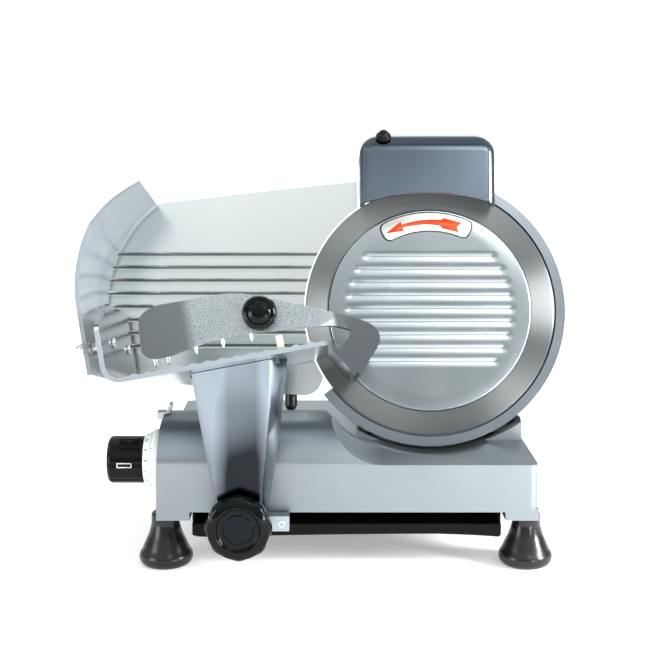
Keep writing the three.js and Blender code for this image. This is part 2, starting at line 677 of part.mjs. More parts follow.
// Section of the tray across its feed: upright wall, rounded corner, floor and turned-down lip.
function traySection() {
  const { floor, half } = TRAY;
  const lip = { x: Math.cos(-59 * DEG), y: Math.sin(-59 * DEG), length: 32 };
  const shape = new THREE.Shape();
  shape.moveTo(-half, 76);
  shape.lineTo(-half, 14);
  shape.absarc(14, 14, 14 + half, Math.PI, 1.5 * Math.PI);
  shape.lineTo(floor, -half);
  shape.lineTo(floor + lip.x * lip.length, -half + lip.y * lip.length);
  shape.lineTo(floor + lip.x * lip.length - lip.y * 4, -half + lip.y * lip.length + lip.x * 4);
  shape.lineTo(floor + 2.3, half);
  shape.lineTo(14, half);
  shape.absarc(14, 14, 14 - half, 1.5 * Math.PI, Math.PI, true);
  shape.lineTo(half, 76);
  return shape;
}

function rodLug(s0, s1) {
  const { p, q } = PUSHER_ROD;
  const shape = new THREE.Shape();
  shape.moveTo(197.5, -9);
  shape.lineTo(212, -31);
  shape.lineTo(p + 9, q - 10);
  shape.absarc(p, q, 13, -50 * DEG, 112 * DEG);
  return plate(shape, s0, s1, 10);
}

function tray() {
  const { near, far, floor } = TRAY;
  const ribs = [];
  for (let p = 24; p < floor - 6; p += 12.6) {
    ribs.push(rod(3.4, far + 2, near - 2, "z", 12).scale(1, 0.5, 1).translate(p, TRAY.half - 0.2, 0));
  }
  const lugs = [rodLug(near - 9, near), rodLug(far + 2, far + 10)];
  // The wall's front corner is sloped: a tool in the wall's own plane takes it off.
  const slope = outline([[74, 120], [73, 128], [50.5, 195], [44, near + 1], [90, near + 1], [90, 120]]);
  const boltHoles = GUARD.boltS.map((s) => rod(3.3, -5, 5, "x").translate(0, GUARD.boltQ, s));
  const rodHoles = rod(PUSHER_ROD.r + GAP, far - 1, near - 4).translate(PUSHER_ROD.p, PUSHER_ROD.q, 0);
  const body = join(plate(traySection(), far, near, 8), ...ribs, ...lugs);
  return cut(body, sidePlate(slope, -10, 10), ...boltHoles, rodHoles);
}

// A clear curved wall on the operator's left: upright beside the tray, then bending inward.
function clearGuard() {
  const { p, half, near, far } = GUARD;
  const bend = { r: 125, q: 70, turn: 62 * DEG };
  const shape = new THREE.Shape();
  shape.moveTo(p - half, 12);
  shape.lineTo(p + half, 12);
  shape.lineTo(p + half, bend.q);
  shape.absarc(p + half + bend.r, bend.q, bend.r, Math.PI, Math.PI - bend.turn, true);
  shape.absarc(p + half + bend.r, bend.q, bend.r + 2 * half, Math.PI - bend.turn, Math.PI);
  const corner = outline([
    [142, near + 1], [150, 154], [160, 146], [170, 135], [177, 125], [186, 112], [260, 60], [260, near + 1],
  ]);
  const bolts = GUARD.boltS.map((s) => rod(3.3, p - 10, p + 10, "x").translate(0, GUARD.boltQ, s));
  return cut(plate(shape, far, near, 16), sidePlate(corner, -60, 120), ...bolts);
}

function guardBolt(s) {
  const outer = GUARD.p + GUARD.half + GAP;
  const profile = [
    [0, -29], [3, -29], [3, outer], [5, outer], [5, -TRAY.half - GAP], [3, -TRAY.half - GAP], [3, TRAY.half + GAP],
    [5, TRAY.half + GAP], [4.4, TRAY.half + 2.8], [0, TRAY.half + 3.2],
  ];
  return turned(profile, "x", 12).translate(0, GUARD.boltQ, s);
}

function acornNut(s) {
  const right = GUARD.p - GUARD.half - GAP;
  const profile = [
    [3.3, right], [5, right], [5, right - 4], [4.4, right - 7.6], [2.6, right - 9.8], [0, right - 10.6],
    [0, right - 9], [3.3, right - 9], [3.3, right],
  ];
  return turned(profile, "x", 12).translate(0, GUARD.boltQ, s);
}

// ---------------------------------------------------------------- pusher
function pusherOutline() {
  const shape = new THREE.Shape();
  shape.moveTo(-66, -29);
  shape.quadraticCurveTo(-80, -22.5, -92, -21);
  shape.lineTo(-113, -16.6);
  shape.lineTo(-150, -8.6);
  shape.quadraticCurveTo(-176, -2, -195, -4.6);
  shape.lineTo(-241, -12.6);
  shape.quadraticCurveTo(-262, -16, -265, -28);
  shape.lineTo(-263, -48);
  shape.quadraticCurveTo(-262, -60, -252, -60);
  shape.quadraticCurveTo(-242, -60, -230, -55);
  shape.quadraticCurveTo(-192, -38.5, -150, -36.5);
  shape.lineTo(-116, -32.6);
  shape.quadraticCurveTo(-96, -29, -82, -35);
  shape.lineTo(-72, -44);
  shape.lineTo(-62, -40);
  return shape;
}

// The flat plate runs to the crease; beyond it the arm steps back to the hub on the rod.
function pusherPlate() {
  const { front, back, hubFront, hubBack } = PUSHER;
  const inPlan = outline([
    [-270, back], [-114, back], [-90, 162], [-60, 162], [-60, 176], [-86, 176], [-112, front], [-270, front],
  ]);
  const bar = plate(inPlan, -20, 80).rotateX(Math.PI / 2);
  const swept = common(plate(pusherOutline(), 150, 200, 10), bar);
  const axis = new THREE.Vector3(PUSHER_ROD.p, PUSHER_ROD.q, 0).applyMatrix4(trayFrame.matrix);
  const hub = rod(13, hubBack, hubFront, "z", 36).translate(axis.x, axis.y, 0);
  const bore = rod(8.3, hubBack - 1, hubFront + 1, "z", 36).translate(axis.x, axis.y, 0);
  const teeth = [[-251, -57], [-240, -55], [-216.5, -46], [-193.7, -40], [-169.6, -35]].map(([a, b]) => {
    const tooth = turned([[0, -10.5], [0.8, -10], [1.6, -7.5], [1.6, 0], [0, 0]], "y", 8);
    return tooth.rotateZ(TRAY.turn).translate(a, b, (front + back) / 2);
  });
  return cut(join(swept, hub, ...teeth), bore);
}

function pusherKnob() {
  const profile = [
    [0, 0], [8, 0], [8, 4], [12, 5.5], [15, 10], [14.6, 15], [12.4, 19.5], [8.6, 22.7], [4.4, 24.4], [0, 25],
  ];
  return turned(profile, "z", 24).translate(PUSHER.knobA, PUSHER.knobB, PUSHER.front + GAP);
}

// ---------------------------------------------------------------- the pieces
piece(slicer, "base_casting", "casting", baseCasting());
piece(slicer, "bottom_cover", "blackPaint", bottomCover());
for (const [side, x] of [["left", FOOT.left], ["right", FOOT.right]]) {
  for (const [end, y] of [["front", FOOT.front], ["rear", FOOT.rear]]) {
    piece(slicer, `foot_${end}_${side}`, "rubber", foot().translate(x, y, 0));
  }
}

piece(bladeFrame, "blade_housing", "casting", bladeHousing());
piece(bladeFrame, "blade", "bladeSteel", blade());
piece(bladeFrame, "blade_cover", "polished", bladeCover());
piece(bladeFrame, "blade_shaft", "steel", bladeShaft());
piece(bladeFrame, "bearing_front", "steel", tube(12.3, 21, -42, -28));
piece(bladeFrame, "bearing_rear", "steel", tube(12.3, 21, -72, -58));
piece(bladeFrame, "blade_pulley", "steel", pulley(12.3, DRIVE.bladePulleyR, 3));
piece(bladeFrame, "motor_pulley", "steel",
  pulley(5.3, DRIVE.motorPulleyR, 3).translate(DRIVE.motorA, DRIVE.motorB, 0));
piece(bladeFrame, "drive_belt", "beltRubber", driveBelt());
piece(bladeFrame, "motor_body", "motorPaint", motorBody());
piece(bladeFrame, "motor_bracket", "steel", motorBracket());
piece(bladeFrame, "motor_rotor", "steel", motorRotor());
piece(bladeFrame, "capacitor", "whitePlastic", rod(16, -158, -100).translate(-45, -58, 0));
piece(bladeFrame, "cover_tie_rod", "steel", rod(4, -187, -12.8));
piece(bladeFrame, "cover_knob", "glossBlack", coverKnob());

piece(slicer, "switch_box", "blackPaint", cut(
  join(block(63, 93.5, 22, 56, 70, 90), block(93.3, 96.5, 16, 62, 66, 94)),
  block(91.5, 100, 25, 36, 73, 87), block(91.5, 100, 42, 53, 73, 87)));
piece(slicer, "start_button", "green", block(95.3, 100.5, 42.4, 52.6, 73.4, 86.6));
piece(slicer, "stop_button", "red", block(95.3, 101.5, 25.4, 35.6, 73.4, 86.6));
piece(slicer, "cable_gland", "rubber", turned([
  [4, 138], [8.2, 138], [8.2, BASE.rear + GAP], [12, BASE.rear + GAP], [12, BASE.rear + 5], [7, BASE.rear + 13],
  [4, BASE.rear + 13], [4, 138],
], "y", 18).translate(-40, 0, 78));

piece(bladeFrame, "sharpener_housing", "casting", sharpenerHousing());
piece(bladeFrame, "sharpener_post", "steel", rod(POST.r, 137.3, 168, "y").translate(POST.a, 0, POST.s));
piece(bladeFrame, "sharpener_knob", "glossBlack", sharpenerKnob());
piece(bladeFrame, "deburr_spindle", "glossBlack", spindle(STONE.deburrA, 13));
piece(bladeFrame, "deburring_stone", "stone", stone(STONE.deburrA, 4.5, 12.5));
piece(bladeFrame, "grind_spindle", "glossBlack", spindle(STONE.grindA, -8.8));
piece(bladeFrame, "grinding_stone", "stone", stone(STONE.grindA, -16.5, -8.5));

piece(bladeFrame, "gauge_plate", "polished", gaugePlate());
piece(bladeFrame, "gauge_arm", "casting", gaugeArm());
piece(bladeFrame, "gauge_guide_rod", "steel", rod(7, -60, 24).translate(GAUGE.rodA, GAUGE.rodB, 0));
piece(bladeFrame, "gauge_bumper", "rubber",
  turned([[0, -101], [4, -99.5], [6.3, -95], [6.3, -66], [0, -66]], "y", 20).translate(-139.5, 0, -14.9));
piece(bladeFrame, "cam_follower", "steel", camFollower());
piece(slicer, "dial_knob", "glossBlack", dialKnob());
piece(slicer, "dial_collar", "whitePlastic", dialCollar());
piece(slicer, "dial_shaft", "steel", dialShaft());
piece(slicer, "dial_pointer", "casting", dialPointer());

const rodEnds = [BASE.left + PAD.width + GAP, BASE.right - PAD.width - GAP];
piece(slicer, "carriage_rod", "steel",
  rod(CARRIAGE_ROD.r, ...rodEnds, "x").translate(0, CARRIAGE_ROD.y, CARRIAGE_ROD.z));
piece(slicer, "guide_bar", "steel",
  block(...rodEnds, GUIDE_BAR.front, GUIDE_BAR.back, GUIDE_BAR.bottom, GUIDE_BAR.top));
piece(slicer, "slide_block", "casting", slideBlock());
piece(slicer, "bushing_left", "brass", slideBushing(BLOCK.left, BLOCK.left + 16));
piece(slicer, "bushing_right", "brass", slideBushing(BLOCK.right - 16, BLOCK.right));
piece(slicer, "tray_arm", "casting", trayArm());
piece(slicer, "star_knob", "glossBlack", starKnob());
piece(trayFrame, "tray", "polished", tray());
piece(trayFrame, "clear_guard", "clear", clearGuard());
GUARD.boltS.forEach((s, i) => {
  const end = ["front", "rear"][i];
  piece(trayFrame, `guard_bolt_${end}`, "steel", guardBolt(s));
  piece(trayFrame, `guard_nut_${end}`, "steel", acornNut(s));
});
piece(trayFrame, "pusher_rod", "steel",
  rod(PUSHER_ROD.r, TRAY.far - 4, TRAY.near - 4.5).translate(PUSHER_ROD.p, PUSHER_ROD.q, 0));
piece(trayFrame, "pusher_bushing", "nylon",
  tube(PUSHER_ROD.r + GAP, 8, PUSHER.hubBack, PUSHER.hubFront).translate(PUSHER_ROD.p, PUSHER_ROD.q, 0));
piece(bladeFrame, "pusher_plate", "polished", pusherPlate());
piece(bladeFrame, "pusher_knob", "glossBlack", pusherKnob());
piece(trayFrame, "pusher_rest", "nylon", block(147, 153, TRAY.half + 2, 14.5, 176, 188));

// Stand the machine on the table with the origin under the middle of its bounding box.
slicer.updateMatrixWorld(true);
const extent = new THREE.Box3().setFromObject(slicer, true);
const middle = extent.getCenter(new THREE.Vector3());
slicer.position.set(-middle.x, -middle.y, -extent.min.z);

export default slicer;
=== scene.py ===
"""Finished looks for a deli meat slicer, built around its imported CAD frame. Metres, +Z up."""

import json
import math

import bmesh
import bpy
from mathutils import Matrix, Vector


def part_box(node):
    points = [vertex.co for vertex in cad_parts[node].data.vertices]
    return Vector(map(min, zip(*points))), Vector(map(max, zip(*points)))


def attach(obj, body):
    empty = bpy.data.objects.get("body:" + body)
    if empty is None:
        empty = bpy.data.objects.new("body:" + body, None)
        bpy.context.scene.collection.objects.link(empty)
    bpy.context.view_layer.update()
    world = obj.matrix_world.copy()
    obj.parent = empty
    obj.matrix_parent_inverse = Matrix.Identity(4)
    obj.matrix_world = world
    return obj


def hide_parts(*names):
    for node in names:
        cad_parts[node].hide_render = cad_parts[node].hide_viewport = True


MM = 0.001
TRAY_TURN = math.radians(10.3)
TRAY_CORNER = (-290 * MM, -81 * MM, 0)  # from the blade's centre, across and up its face
RIB_PITCH = 13.2 * MM  # of the gauge plate and of the blade cover
NOISE_LOW, NOISE_HIGH = 0.3, 0.7  # most values of a noise texture lie between these

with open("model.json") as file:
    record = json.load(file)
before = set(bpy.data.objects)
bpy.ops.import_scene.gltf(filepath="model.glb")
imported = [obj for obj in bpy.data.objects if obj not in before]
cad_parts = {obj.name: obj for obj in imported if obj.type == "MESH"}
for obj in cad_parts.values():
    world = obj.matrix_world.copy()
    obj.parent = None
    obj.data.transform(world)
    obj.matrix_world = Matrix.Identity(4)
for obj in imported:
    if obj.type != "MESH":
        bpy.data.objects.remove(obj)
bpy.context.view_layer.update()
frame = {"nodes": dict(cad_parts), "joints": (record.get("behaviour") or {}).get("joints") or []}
nodes = frame["nodes"]
joints = {joint["name"]: joint for joint in frame["joints"]}


# ---------------------------------------------------------------- places
def basis(origin, x, z):
    """A matrix whose x and z axes are these directions."""
    x, z = Vector(x).normalized(), Vector(z).normalized()
    y = z.cross(x)
    return Matrix.Translation(Vector(origin)) @ Matrix((x, y, z)).transposed().to_4x4()


def span(node, place, axis):
    """Lowest and highest coordinate of a CAD node along one axis of a place."""
    back = place.inverted()
    values = [(back @ vertex.co)[axis] for vertex in nodes[node].data.vertices]
    return min(values), max(values)


def half_width(node, axis=0):
    """Half the size of a CAD node along a world axis: the radius of a round one."""
    low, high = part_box(node)
    return (high[axis] - low[axis]) / 2


BLADE = basis(joints["blade_spin"]["pos_m"], (1, 0, 0), joints["blade_spin"]["axis"])
TRAY = BLADE @ Matrix.Translation(TRAY_CORNER) @ Matrix.Rotation(TRAY_TURN, 4, "Z")
DIAL = basis(joints["dial_turn"]["pos_m"], (0, 1, 0), (-1, 0, 0))
STAR = basis(joints["star_knob_turn"]["pos_m"], (1, 0, 0), (0, -1, 0))
CLAMP = basis(joints["sharpener_knob_turn"]["pos_m"], (1, 0, 0), joints["sharpener_knob_turn"]["axis"])


# ---------------------------------------------------------------- materials
def set_stops(ramp, stops):
    """Fills a colour ramp node with (position, colour) stops."""
    elements = ramp.color_ramp.elements
    while len(elements) < len(stops):
        elements.new(0.5)
    for element, (position, colour) in zip(elements, stops):
        element.position = position
        element.color = colour


class Finish:
    """A Principled material with short calls for the procedural detail on it."""

    def __init__(self, name, colour, metallic, roughness, **constants):
        self.material = bpy.data.materials.new(name)
        self.material.use_nodes = True
        self.tree = self.material.node_tree
        self.bsdf = self.tree.nodes["Principled BSDF"]
        self.colour = (*colour, 1)
        self.roughness = roughness
        self.bsdf.inputs["Base Color"].default_value = self.colour
        self.bsdf.inputs["Metallic"].default_value = metallic
        self.bsdf.inputs["Roughness"].default_value = roughness
        for key, value in constants.items():
            self.bsdf.inputs[key.replace("_", " ")].default_value = value
        self.coords = self.tree.nodes.new("ShaderNodeTexCoord").outputs["Object"]
        self.normal = None

    def link(self, output, target):
        self.tree.links.new(output, target)

    def stretched(self, scale):
        """Object coordinates, scaled along each axis."""
        mapping = self.tree.nodes.new("ShaderNodeMapping")
        mapping.inputs["Scale"].default_value = scale
        self.link(self.coords, mapping.inputs["Vector"])
        return mapping.outputs["Vector"]

    def noise(self, scale, vector=None, detail=3.0):
        """Soft noise, on the object's coordinates unless a vector is given."""
        texture = self.tree.nodes.new("ShaderNodeTexNoise")
        texture.inputs["Scale"].default_value = scale
        texture.inputs["Detail"].default_value = detail
        self.link(vector or self.coords, texture.inputs["Vector"])
        return texture.outputs["Fac"]

    def xyz(self):
        """The object's three coordinates, each as a value of its own."""
        split = self.tree.nodes.new("ShaderNodeSeparateXYZ")
        self.link(self.coords, split.inputs[0])
        return split.outputs

    def radius(self):
        """Distance from the object's own z axis, for marks that run in circles."""
        flat = self.stretched((1, 1, 0))
        length = self.tree.nodes.new("ShaderNodeVectorMath")
        length.operation = "LENGTH"
        self.link(flat, length.inputs[0])
        return length.outputs["Value"]

    def box(self, *ranges):
        """1 where the object's x, y and z all lie within their ranges, else 0."""
        whole = None
        for coordinate, (near, far) in zip(self.xyz(), ranges):
            inside = self.within(coordinate, near, far)
            whole = self.combine("MULTIPLY", whole, inside) if whole else inside
        return whole

    def within(self, value, near, far):
        """1 where a value lies between two others, else 0."""
        inside = self.math("COMPARE", value, (near + far) / 2)
        inside.node.inputs[2].default_value = (far - near) / 2
        return inside

    def combine(self, operation, first, second):
        """A maths operation on two values that both vary."""
        node = self.tree.nodes.new("ShaderNodeMath")
        node.operation = operation
        self.link(first, node.inputs[0])
        self.link(second, node.inputs[1])
        return node.outputs["Value"]

    def cover_colour(self, mask, colour):
        """Lays a second colour over the varied one where the mask is 1, as paint without metal shine."""
        mix = self.tree.nodes.new("ShaderNodeMix")
        mix.data_type = "RGBA"
        self.link(mask, mix.inputs[0])
        self.link(self.bsdf.inputs["Base Color"].links[0].from_socket, mix.inputs[6])
        mix.inputs[7].default_value = colour
        self.link(mix.outputs[2], self.bsdf.inputs["Base Color"])
        self.link(self.remap(mask, 1.0, 0.0, 0, 1), self.bsdf.inputs["Metallic"])

    def radius_vector(self):
        """The radius as a vector, so that noise along it makes rings."""
        combine = self.tree.nodes.new("ShaderNodeCombineXYZ")
        self.link(self.radius(), combine.inputs["X"])
        return combine.outputs["Vector"]

    def along(self, place, axis):
        """Distance along one axis of a place, in a CAD node's coordinates."""
        direction = place.col[axis].xyz
        dot = self.tree.nodes.new("ShaderNodeVectorMath")
        dot.operation = "DOT_PRODUCT"
        dot.inputs[1].default_value = direction
        self.link(self.coords, dot.inputs[0])
        return self.math("SUBTRACT", dot.outputs["Value"], place.translation.dot(direction))

    def steps(self, value, *stops):
        """A value that follows (distance, level) stops along a distance."""
        ramp = self.tree.nodes.new("ShaderNodeValToRGB")
        length = stops[-1][0]
        set_stops(ramp, [(distance / length, (level, level, level, 1)) for distance, level in stops])
        self.link(self.math("DIVIDE", value, length), ramp.inputs["Fac"])
        return ramp.outputs["Color"]

    def math(self, operation, value, constant):
        """A maths operation on a value and a constant."""
        node = self.tree.nodes.new("ShaderNodeMath")
        node.operation = operation
        node.inputs[1].default_value = constant
        self.link(value, node.inputs[0])
        return node.outputs["Value"]

    def blend(self, mask, first, second):
        """One value where the mask is 0 and another where it is 1."""
        mix = self.tree.nodes.new("ShaderNodeMix")
        self.link(mask, mix.inputs[0])
        self.link(first, mix.inputs[2])
        self.link(second, mix.inputs[3])
        return mix.outputs[0]

    def remap(self, value, low, high, start=NOISE_LOW, end=NOISE_HIGH):
        """Runs from low to high while the value runs from start to end, and stays level beyond them."""
        scaled = self.tree.nodes.new("ShaderNodeMapRange")
        scaled.inputs["From Min"].default_value = start
        scaled.inputs["From Max"].default_value = end
        scaled.inputs["To Min"].default_value = low
        scaled.inputs["To Max"].default_value = high
        self.link(value, scaled.inputs["Value"])
        return scaled.outputs["Result"]

    def vary_roughness(self, value, amount):
        """Moves the roughness down and up by the amount as the value runs over a noise's range."""
        spread = self.remap(value, self.roughness - amount, self.roughness + amount)
        self.link(spread, self.bsdf.inputs["Roughness"])
        return self

    def vary_colour(self, value, dark, light=1.0):
        """Scales the colour from dark to light as the value runs over a noise's range."""
        ramp = self.tree.nodes.new("ShaderNodeValToRGB")
        low, high = ([min(1, channel * factor) for channel in self.colour[:3]] for factor in (dark, light))
        set_stops(ramp, [(NOISE_LOW, (*low, 1)), (NOISE_HIGH, (*high, 1))])
        self.link(value, ramp.inputs["Fac"])
        self.link(ramp.outputs["Color"], self.bsdf.inputs["Base Color"])
        return self

    def bump(self, value, strength, depth):
        """Adds a fine relief on top of the ones added before."""
        bump = self.tree.nodes.new("ShaderNodeBump")
        bump.inputs["Strength"].default_value = strength
        bump.inputs["Distance"].default_value = depth
        self.link(value, bump.inputs["Height"])
        if self.normal:
            self.link(self.normal, bump.inputs["Normal"])
        self.normal = bump.outputs["Normal"]
        self.link(self.normal, self.bsdf.inputs["Normal"])
        return self


def uneven_metal(name, colour, roughness):
    """Bare metal with a faint unevenness in its colour and gloss."""
    metal = Finish(name, colour, 1.0, roughness)
    metal.vary_roughness(metal.noise(25, detail=1), 0.02)
    metal.vary_colour(metal.noise(14, detail=1), 0.97, 1.02)
    return metal


def toothed(metal, grain):
    """The finished material, with the fine tooth of a sand casting."""
    return metal.bump(metal.noise(1800, detail=2), grain, 0.1 * MM).material


def cast_metal(name, colour, roughness, grain=0.12):
    """Sand-cast and anodised aluminium."""
    return toothed(uneven_metal(name, colour, roughness), grain)


def hollow_cast(name, colour, roughness):
    """The base's cast aluminium, with painted shade: near-black inside its hollow underside, where shade
    falls.
    """
    wall, ceiling = 5.8 * MM, 98 * MM
    pad, pad_top = 30 * MM, 58.5 * MM
    seat_r = 149 * MM
    metal = uneven_metal(name, colour, roughness)
    low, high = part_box("base_casting")
    room = metal.box((low[0] + wall, high[0] - wall), (low[1] + wall, high[1] - wall), (0, ceiling))
    between_pads = metal.box(
        (low[0] + pad, high[0] - pad), (low[1] + 0.5 * MM, high[1] - 0.5 * MM), (0, pad_top))
    squares = [metal.math("POWER", metal.along(BLADE, axis), 2.0) for axis in (0, 1)]
    off_seat = metal.math("GREATER_THAN", metal.combine("ADD", *squares), seat_r**2)
    inside = metal.combine("MULTIPLY", metal.combine("MAXIMUM", room, between_pads), off_seat)
    # painted shade: the inside of the hollow underside is coloured near-black, not metal, to stand in for
    # the shade there
    metal.cover_colour(inside, (0.012, 0.013, 0.014, 1))
    return toothed(metal, 0.12)


def arm_metal(name, colour, roughness):
    """Polished channel with a painted reflection: dark low down in its middle, and painted lighter upward
    and towards both edges.
    """
    metal = Finish(name, colour, 1.0, roughness)
    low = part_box("tray_arm")[0]
    x, _, z = metal.xyz()
    uneven = metal.remap(metal.noise(14, detail=1), -20 * MM, 20 * MM)
    height = metal.combine("ADD", z, uneven)
    # painted reflection: colour darker low down and in the middle, lighter upward and at both edges
    upward = metal.remap(height, 0.26, 0.66, low[2] + 76 * MM, low[2] + 186 * MM)
    left = metal.remap(x, 0.34, 0.0, low[0] + 20 * MM, low[0] + 34 * MM)
    right = metal.remap(x, 0.0, 0.3, low[0] + 58 * MM, low[0] + 68 * MM)
    sides = metal.combine("ADD", left, right)
    metal.vary_colour(metal.combine("ADD", upward, metal.math("MULTIPLY", sides, 0.8)), 0.08, 1.15)
    return toothed(metal, 0.06)


def hood_metal(name, colour, roughness):
    """Polished casting with a painted highlight along its top edge and a painted dark reflection band just
    under it.
    """
    metal = Finish(name, colour, 1.0, roughness)
    top = span("sharpener_housing", BLADE, 1)[1]
    depth = metal.math("MULTIPLY", metal.math("SUBTRACT", metal.along(BLADE, 1), top), -1.0)
    # painted highlight at the top edge, then a painted dark reflection band, then the plain face
    painted_highlight_edge = ((0, 0.72), (4 * MM, 0.62))
    painted_dark_reflection_band = ((6.5 * MM, 0.31), (15 * MM, 0.34))
    face = ((19 * MM, 0.46), (60 * MM, 0.54))
    metal.vary_roughness(metal.noise(25, detail=1), 0.02)
    metal.vary_colour(metal.steps(depth, *painted_highlight_edge, *painted_dark_reflection_band, *face), 0.3, 1.7)
    return toothed(metal, 0.1)


def brushed_metal(name, colour, roughness, scale):
    """Metal with long fine scratches along the axis that is scaled least."""
    metal = Finish(name, colour, 1.0, roughness)
    lines = metal.noise(1.0, metal.stretched(scale), detail=4)
    metal.vary_roughness(lines, 0.07)
    metal.vary_colour(metal.noise(9, detail=3), 0.94, 1.03)
    return metal.bump(lines, 0.12, 0.1 * MM).material


def spun_metal(name, colour, roughness):
    """Metal finished on a lathe: circular marks that spread each highlight into a radial streak."""
    metal = Finish(name, colour, 1.0, roughness, Anisotropic=0.95, Anisotropic_Rotation=0.25)
    lines = metal.noise(2200, metal.radius_vector(), detail=2)
    metal.vary_roughness(lines, 0.04)
    metal.vary_colour(lines, 0.94, 1.04)
    tangent = metal.tree.nodes.new("ShaderNodeTangent")
    tangent.direction_type = "RADIAL"
    tangent.axis = "Z"
    metal.link(tangent.outputs["Tangent"], metal.bsdf.inputs["Tangent"])
    return metal.bump(lines, 0.06, 0.05 * MM).material


def speckled_metal(name, colour, roughness, start, end):
    """Aluminium with a pressed speckle between two places along the tray, and smooth beyond them; the
    smooth ends carry painted shade, with a painted highlight band just past the far end.
    """
    metal = Finish(name, colour, 1.0, roughness)
    reach = metal.along(TRAY, 0)
    # painted shade on the smooth ends, with a painted highlight band in the first 10 mm past the end
    painted_light_tip = ((end, 0.55), (end + 10 * MM, 0.5), (end + 14 * MM, 0.28), (300 * MM, 0.26))
    smooth = metal.steps(reach, (0, 0.30), (start, 0.34), *painted_light_tip)
    soft = 5 * MM
    begun = metal.remap(reach, 0, 1, start - soft, start + soft)
    not_ended = metal.remap(reach, 1, 0, end - soft, end)
    speckle = metal.remap(metal.noise(1700, detail=2), 0.38, 0.72, 0.35, 0.65)
    value = metal.blend(metal.combine("MULTIPLY", begun, not_ended), smooth, speckle)
    metal.vary_colour(value, 0.42, 1.25)
    metal.vary_roughness(value, 0.08)
    return metal.bump(value, 0.15, 0.2 * MM).material


def ribbed_metal(name, colour, roughness, first, count, width):
    """Polished plate with level grooves, counted from the first one up: painted shade in the grooves and
    on each rib just under the groove above, painted light falling off towards the right, and darker at its
    back.
    """
    metal = Finish(name, colour, 1.0, roughness)
    height = metal.math("SUBTRACT", metal.along(BLADE, 1), first)
    nearest = metal.math("PINGPONG", height, RIB_PITCH / 2)
    grooved = metal.within(height, -RIB_PITCH / 2, (count - 0.5) * RIB_PITCH)
    # painted shade: darker in each groove and on each rib just under the groove above it
    groove = metal.remap(nearest, 0.3, 0.7, width * 0.3, width)
    share = metal.math("FRACT", metal.math("DIVIDE", height, RIB_PITCH), 0)
    shade = metal.remap(share, 0.7, 0.54, 0.5, 1.0)
    # painted light falling off towards the right of the plate
    plain = metal.remap(metal.along(BLADE, 0), 0.72, 0.62, -240 * MM, -80 * MM)
    ribs = metal.blend(grooved, plain, metal.combine("MINIMUM", groove, shade))
    value = metal.combine("MINIMUM", plain, ribs)
    back = metal.remap(metal.along(BLADE, 2), 0.34, 0.72, 0.1 * MM, 0.7 * MM)
    metal.vary_colour(metal.combine("MINIMUM", value, back), 0.36, 1.0)
    lines = metal.noise(1.0, metal.stretched((12, 1500, 1500)), detail=3)
    return metal.bump(lines, 0.05, 0.05 * MM).material


def tray_metal(name, colour, roughness):
    """Brushed tray with painted shade on its left wall and its right lug, and a painted highlight along
    its near edge.
    """
    metal = Finish(name, colour, 1.0, roughness)
    across = metal.along(TRAY, 0)
    # painted shade on the left wall and the lug, painted highlight along the near edge
    wall = metal.remap(across, 0.3, 0.58, 2 * MM, 12 * MM)
    lug = metal.remap(across, 0.58, 0.32, 188 * MM, 194 * MM)
    near = metal.remap(metal.along(TRAY, 2), 0.0, 1.0, 196.5 * MM, 197.5 * MM)
    edge = metal.combine("MULTIPLY", near, metal.remap(across, 1.0, 0.0, 186 * MM, 190 * MM))
    lines = metal.noise(1.0, metal.stretched((1200, 12, 1200)), detail=4)
    metal.vary_roughness(lines, 0.05)
    shade = metal.combine("MAXIMUM", metal.combine("MINIMUM", wall, lug), edge)
    metal.vary_colour(shade, 0.36, 1.55)
    return metal.bump(lines, 0.06, 0.1 * MM).material


def moulded(name, colour, roughness, tooth=0.08, **constants):
    """Moulded plastic or rubber: a faint orange peel and a little unevenness in its gloss."""
    plastic = Finish(name, colour, 0.0, roughness, **constants)
    plastic.vary_roughness(plastic.noise(60, detail=2), min(0.04, roughness / 2))
    return plastic.bump(plastic.noise(700, detail=2), tooth, 0.2 * MM).material


def smoky_plastic(name, colour, alpha):
    """Smoky clear sheet with a smooth bright skin."""
    plastic = Finish(name, colour, 0.0, 0.12, Alpha=alpha)
    return plastic.bump(plastic.noise(30, detail=1), 0.03, 0.3 * MM).material


def printed(name, colour):
    """Label stock or ink, with a slight tooth."""
    stock = Finish(name, colour, 0.0, 0.35, Specular_IOR_Level=0.15)
    return stock.bump(stock.noise(900, detail=2), 0.05, 0.1 * MM).material


CAST = cast_metal("cast_aluminium", (0.38, 0.42, 0.44), 0.32)
BASE_CAST = hollow_cast("base_aluminium", (0.265, 0.292, 0.308), 0.42)
SHARPENER_CAST = hood_metal("sharpener_aluminium", (0.145, 0.180, 0.215), 0.20)
RING_CAST = cast_metal("ring_guard_aluminium", (0.34, 0.385, 0.415), 0.24, grain=0.06)
ARM_METAL = arm_metal("arm_aluminium", (0.21, 0.24, 0.27), 0.17)
COVER_METAL = cast_metal("cover_aluminium", (0.405, 0.45, 0.465), 0.255, grain=0.06)
GAUGE_METAL = ribbed_metal(
    "gauge_aluminium", (0.95, 0.995, 0.98), 0.20, first=-36.2 * MM, count=8, width=2.8 * MM)
TRAY_METAL = tray_metal("tray_aluminium", (0.56, 0.61, 0.65), 0.18)
BLADE_STEEL = spun_metal("blade_steel", (0.19, 0.20, 0.198), 0.44)
STEEL = brushed_metal("turned_steel", (0.66, 0.68, 0.69), 0.2, (900, 900, 60))
SPECKLED = speckled_metal("speckled_aluminium", (0.58, 0.635, 0.65), 0.28, start=76 * MM, end=188 * MM)
GLOSS_BLACK = moulded("gloss_black_plastic", (0.002, 0.003, 0.0035), 0.08, Specular_IOR_Level=0.16)
KNOB_FACE = moulded("knob_face_plastic", (0.004, 0.006, 0.008), 0.16, Specular_IOR_Level=0.12)
